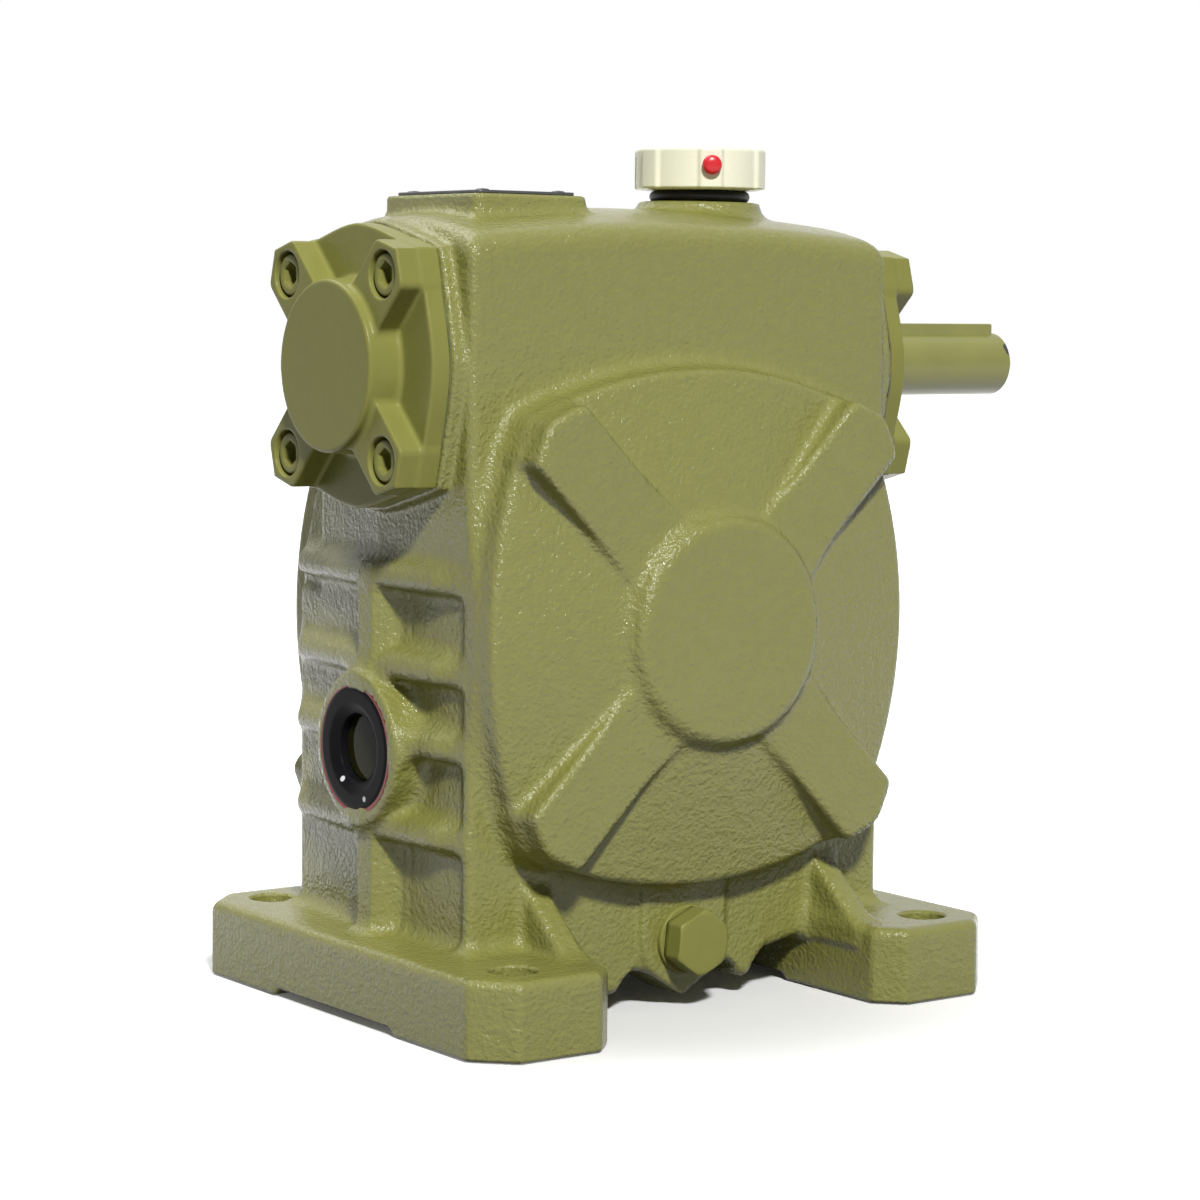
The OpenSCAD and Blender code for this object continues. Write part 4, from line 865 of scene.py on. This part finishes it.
# %% Filler
VENT_TURN = math.radians(-117.6)
FILLER = (FILLER_X, 0.0, PAD_TOP)


def grip(angle, radius, height):
    """Radius plus up to 0.8 mm on six lobes about 21 degrees wide, rounded at their flanks."""
    away = np.abs((angle - VENT_TURN + np.pi / 6) % (np.pi / 3) - np.pi / 6)
    lobe = np.clip((math.radians(12.5) - away) / math.radians(4.0), 0, 1)
    lobe = lobe * lobe * (3 - 2 * lobe)
    share = np.clip((radius - 12) / 3.0, 0, 1)
    return radius + 0.78 * lobe * share


side = soften([(0, 2.9, 0), (9.37, 2.9, 0.1), (13.6, 2.95, 0.4), (15.5, 3.3, 0.5), (15.5, 12.9, 0.9),
               (13.4, 13.1, 0.5), (12.6, 12.6, 0.4), (0, 12.7, 0)], 7)
stem = soften([(0, -11, 0), (7.97, -11, 0.5), (7.97, -0.2, 0), (9.37, 0.0, 0.1), (9.37, 3.4, 0), (0, 3.4, 0)])
points, faces = gather(turned(side, 288, grip, FILLER), turned(stem, 72, centre=FILLER))
new_piece("cream_cap", points, faces, "housing_body", finish["cream_plastic"], ("filler_cap",))

angle = np.linspace(np.pi, -np.pi, 33)
torus = np.stack([10.85 + 1.43 * np.cos(angle), 1.45 + 1.43 * np.sin(angle)], axis=1)[::-1]
points, faces = turned(torus, 96, centre=FILLER)
new_piece("rubber_ring", points, faces, "housing_body", finish["rubber"], ("filler_ring",))

out = (math.cos(VENT_TURN), math.sin(VENT_TURN), 0.0)
centre = np.array(FILLER) + np.array(out) * 16.17 + (0, 0, 8.61)
plug = soften([(0, -6, 0), (1.44, -6, 0.3), (1.44, 0, 0), (2.1, 0.02, 0.1), (2.45, 0.9, 0.5),
               (2.2, 1.9, 0.7), (1.2, 2.35, 0.6), (0, 2.4, 0)], 6)
points, faces = turned(plug, 64, None, centre, out, (0, 0, 1))
new_piece("red_vent_plug", points, faces, "vent", finish["red_plastic"], ("vent_plug",))
print("filler made")

# %% [markdown]
# ## Drain plug and washer
# A hexagon head on a washer. Its corners are turned off by a cylinder and, near the top, by a
# cone: its radius is the smallest of the three at each angle and height.

# %% Drain
DRAIN = dict(centre=(0, -36.5, 16), axis=(0, -1, 0), start=(1, 0, 0))
PLUG_HALF, PLUG_ROUND, PLUG_TOP = 7.0, 7.9, 7.4
WASHER_R, WASHER_TOP = 8.2, 1.4


def chamfered_hexagon(angle, radius, height):
    """Radius of the head: rows marked by a radius over 50 follow the hexagon."""
    hexagon = PLUG_HALF / np.cos((angle - math.radians(24)) % (np.pi / 3) - np.pi / 6)
    cone = 7.05 + (PLUG_TOP - height) * 1.7
    return np.where(radius > 50, np.minimum(np.minimum(hexagon, PLUG_ROUND), cone), radius)


heights = (1.45, 3.0, 5.0, 6.3, 6.6, 6.8, 7.0, 7.15, 7.3)
rows = [(0, WASHER_TOP), (6.0, WASHER_TOP)] + [(99, h) for h in heights]
rows += [(6.85, 7.38), (6.5, PLUG_TOP), (0, PLUG_TOP)]
points, faces = turned(rows, 144, chamfered_hexagon, **DRAIN)
new_piece("hexagon_plug", points, faces, "housing_body", smooth_paint, ("drain_plug",))
washer = soften([(0, 0, 0), (WASHER_R, 0, 0.2), (WASHER_R, WASHER_TOP, 0.5), (0, WASHER_TOP, 0)])
points, faces = turned(washer, 96, **DRAIN)
new_piece("plug_washer", points, faces, "housing_body", smooth_paint, ("drain_washer",))
print("drain made")

# %% [markdown]
# ## Plate, pins and keys
# Flat pieces with just broken edges. The distance method makes them too, on a finer grid.

# %% Plate, pins, keys
PLATE_TOP = 190.3


def plate_sheet(x, y, z):
    return edge(0.2, edge(1.2, np.abs(x - PLATE_X) - 13.55, np.abs(y) - 17.5), slab(z, PAD_TOP, PLATE_TOP))


plate = Casting()
plate.join(plate_sheet, 0)
cast_piece("bare_nameplate", plate, (-47.5, -18, 189.2), (-19.5, 18, 190.6), 0.35,
           body="housing_body", finish=finish["plate"], replaces=("nameplate",))
dome = soften([(0, 0, 0), (1.7, 0, 0.1), (1.4, 0.3, 0.3), (0, 0.45, 0)])
points, faces = gather(*[turned(dome, 32, centre=(PLATE_X + sx * 10.55, sy * 14.5, PLATE_TOP))
                         for sx, sy in CORNERS])
new_piece("plate_pins", points, faces, "housing_body", finish["plate"], ("nameplate_pins",))

input_key = Casting()
input_key.join(lambda x, y, z: edge(0.35, slab(x, 91.1, 125.1), np.abs(y) - 2.47, slab(z, 155.4, 160.4)), 0)
cast_piece("input_shaft_key", input_key, (90.6, -3, 155), (125.6, 3, 160.9), 0.3,
           body="worm", finish=worm_finish, replaces=("input_key",))
output_key = Casting()
output_key.join(lambda x, y, z: edge(0.35, slab(y, 67, 107), np.abs(x) - 3.47, slab(z, 97.0, 104.0)), 0)
cast_piece("output_shaft_key", output_key, (-4, 66.5, 96.6), (4, 107.5, 104.5), 0.35,
           body="output", finish=output_finish, replaces=("output_key",))

# %% [markdown]
# ## Pieces that keep their CAD shape
# Bearings, gears, shafts, oil seals and gaskets are already exact solids. They only get their finish.

# %% Finishes on CAD nodes
slots = {part["node"]: part["material_slot"] for part in frame["record"]["subparts"]}
for node, piece in frame["nodes"].items():
    if node == "worm_shaft":
        choice = worm_finish
    elif node == "output_shaft":
        choice = output_finish
    else:
        choice = finish.get(slots.get(node), smooth_paint)
    piece.data.materials.clear()
    piece.data.materials.append(choice)
print("CAD nodes dressed:", len(frame["nodes"]))

# %% [markdown]
# ## Studio
# The photo is a catalogue picture on white, yet its undersides are nearly black, so its white
# was probably cut in and threw no light. The shadows under the face and the ribs ask for a key
# about 28 degrees left of the closed face and 35 degrees up. It stands at 24 and 40 degrees
# instead, a compromise chosen by spot tones, because the side walls came out too
# light. A weak fill hangs above. Room and floor are white to the eye, to mirrors and to glass,
# and nearly dark to bounced light; the floor keeps the shadow that grounds the feet.

# %% Camera
yaw, pitch, roll = (math.radians(v) for v in (35.90, -5.21, 0.57))
forward = Vector((math.sin(yaw) * math.cos(pitch), math.cos(yaw) * math.cos(pitch), math.sin(pitch)))
right = Vector((math.cos(yaw), -math.sin(yaw), 0))
up = right.cross(forward)
camera_data = bpy.data.cameras.new("photo_camera")
SENSOR_MM, FOCAL_PX, PHOTO_PX = 36.0, 3263.5, 1200
camera_data.sensor_width, camera_data.lens = SENSOR_MM, FOCAL_PX * SENSOR_MM / PHOTO_PX
camera_data.clip_start, camera_data.clip_end = 0.05, 50
camera = bpy.data.objects.new("photo_camera", camera_data)
side_way = right * math.cos(roll) + up * math.sin(roll)
up_way = up * math.cos(roll) - right * math.sin(roll)
turn = Matrix((side_way, up_way, -forward)).transposed().to_4x4()
CAMERA_AT = (-0.4616, -0.6387, 0.1650)
camera.matrix_world = Matrix.Translation(Vector(CAMERA_AT)) @ turn
bpy.context.scene.collection.objects.link(camera)
bpy.context.scene.camera = camera
print("camera lens in mm:", round(camera_data.lens, 2))


# %% Lights and floor
def softbox(name, position, target, size, power):
    """Square area lamp that faces its target; a larger one gives softer edges."""
    lamp = bpy.data.lights.new(name, "AREA")
    lamp.shape, lamp.size, lamp.energy = "SQUARE", size, power
    holder = bpy.data.objects.new(name, lamp)
    holder.location = position
    aim = Vector(target) - Vector(position)
    holder.rotation_euler = aim.to_track_quat("-Z", "Y").to_euler()
    bpy.context.scene.collection.objects.link(holder)


AIM = (0, 0, 0.10)
softbox("key_box", (-1.246, -2.80, 2.67), AIM, 0.38, 174)
softbox("top_box", (-0.2, 0.7, 1.3), AIM, 0.8, 10)

world = bpy.data.worlds.new("studio_world")
bpy.context.scene.world = world
world.use_nodes = True
room = Sheet(world.node_tree)
ROOM_LIGHT = 0.05
background = world.node_tree.nodes["Background"]
room.feed(background.inputs["Color"], (1, 1, 1))
room.feed(background.inputs["Strength"], room.seen() * (1.0 - ROOM_LIGHT) + ROOM_LIGHT)

floor_mesh = bpy.data.meshes.new("floor")
FLOOR_REACH, FLOOR_Z = 6.0, -0.0003
corners = [(a * FLOOR_REACH, b * FLOOR_REACH, FLOOR_Z) for a, b in ((-1, -1), (1, -1), (1, 1), (-1, 1))]
floor_mesh.from_pydata(corners, [], [(0, 1, 2, 3)])
floor = bpy.data.objects.new("floor", floor_mesh)
bpy.context.scene.collection.objects.link(floor)
ground = Finish("white_floor", Roughness=0.8)
x, y, _ = ground.axes()
away = (x * x + y * y) ** 0.5
glow = ground.step(away, 50.0, 190.0) * 0.99 + 0.01
seen = ground.seen()
ground.set("Base Color", ground.mix(seen, (0.10, 0.10, 0.10), (0.95, 0.95, 0.95)))
ground.set("Emission Color", ground.mix(seen * glow, (0, 0, 0), (1, 1, 1)))
ground.set("Emission Strength", 1.0)
floor_mesh.materials.append(ground.material)

scene = bpy.context.scene
scene.view_settings.view_transform = "Standard"
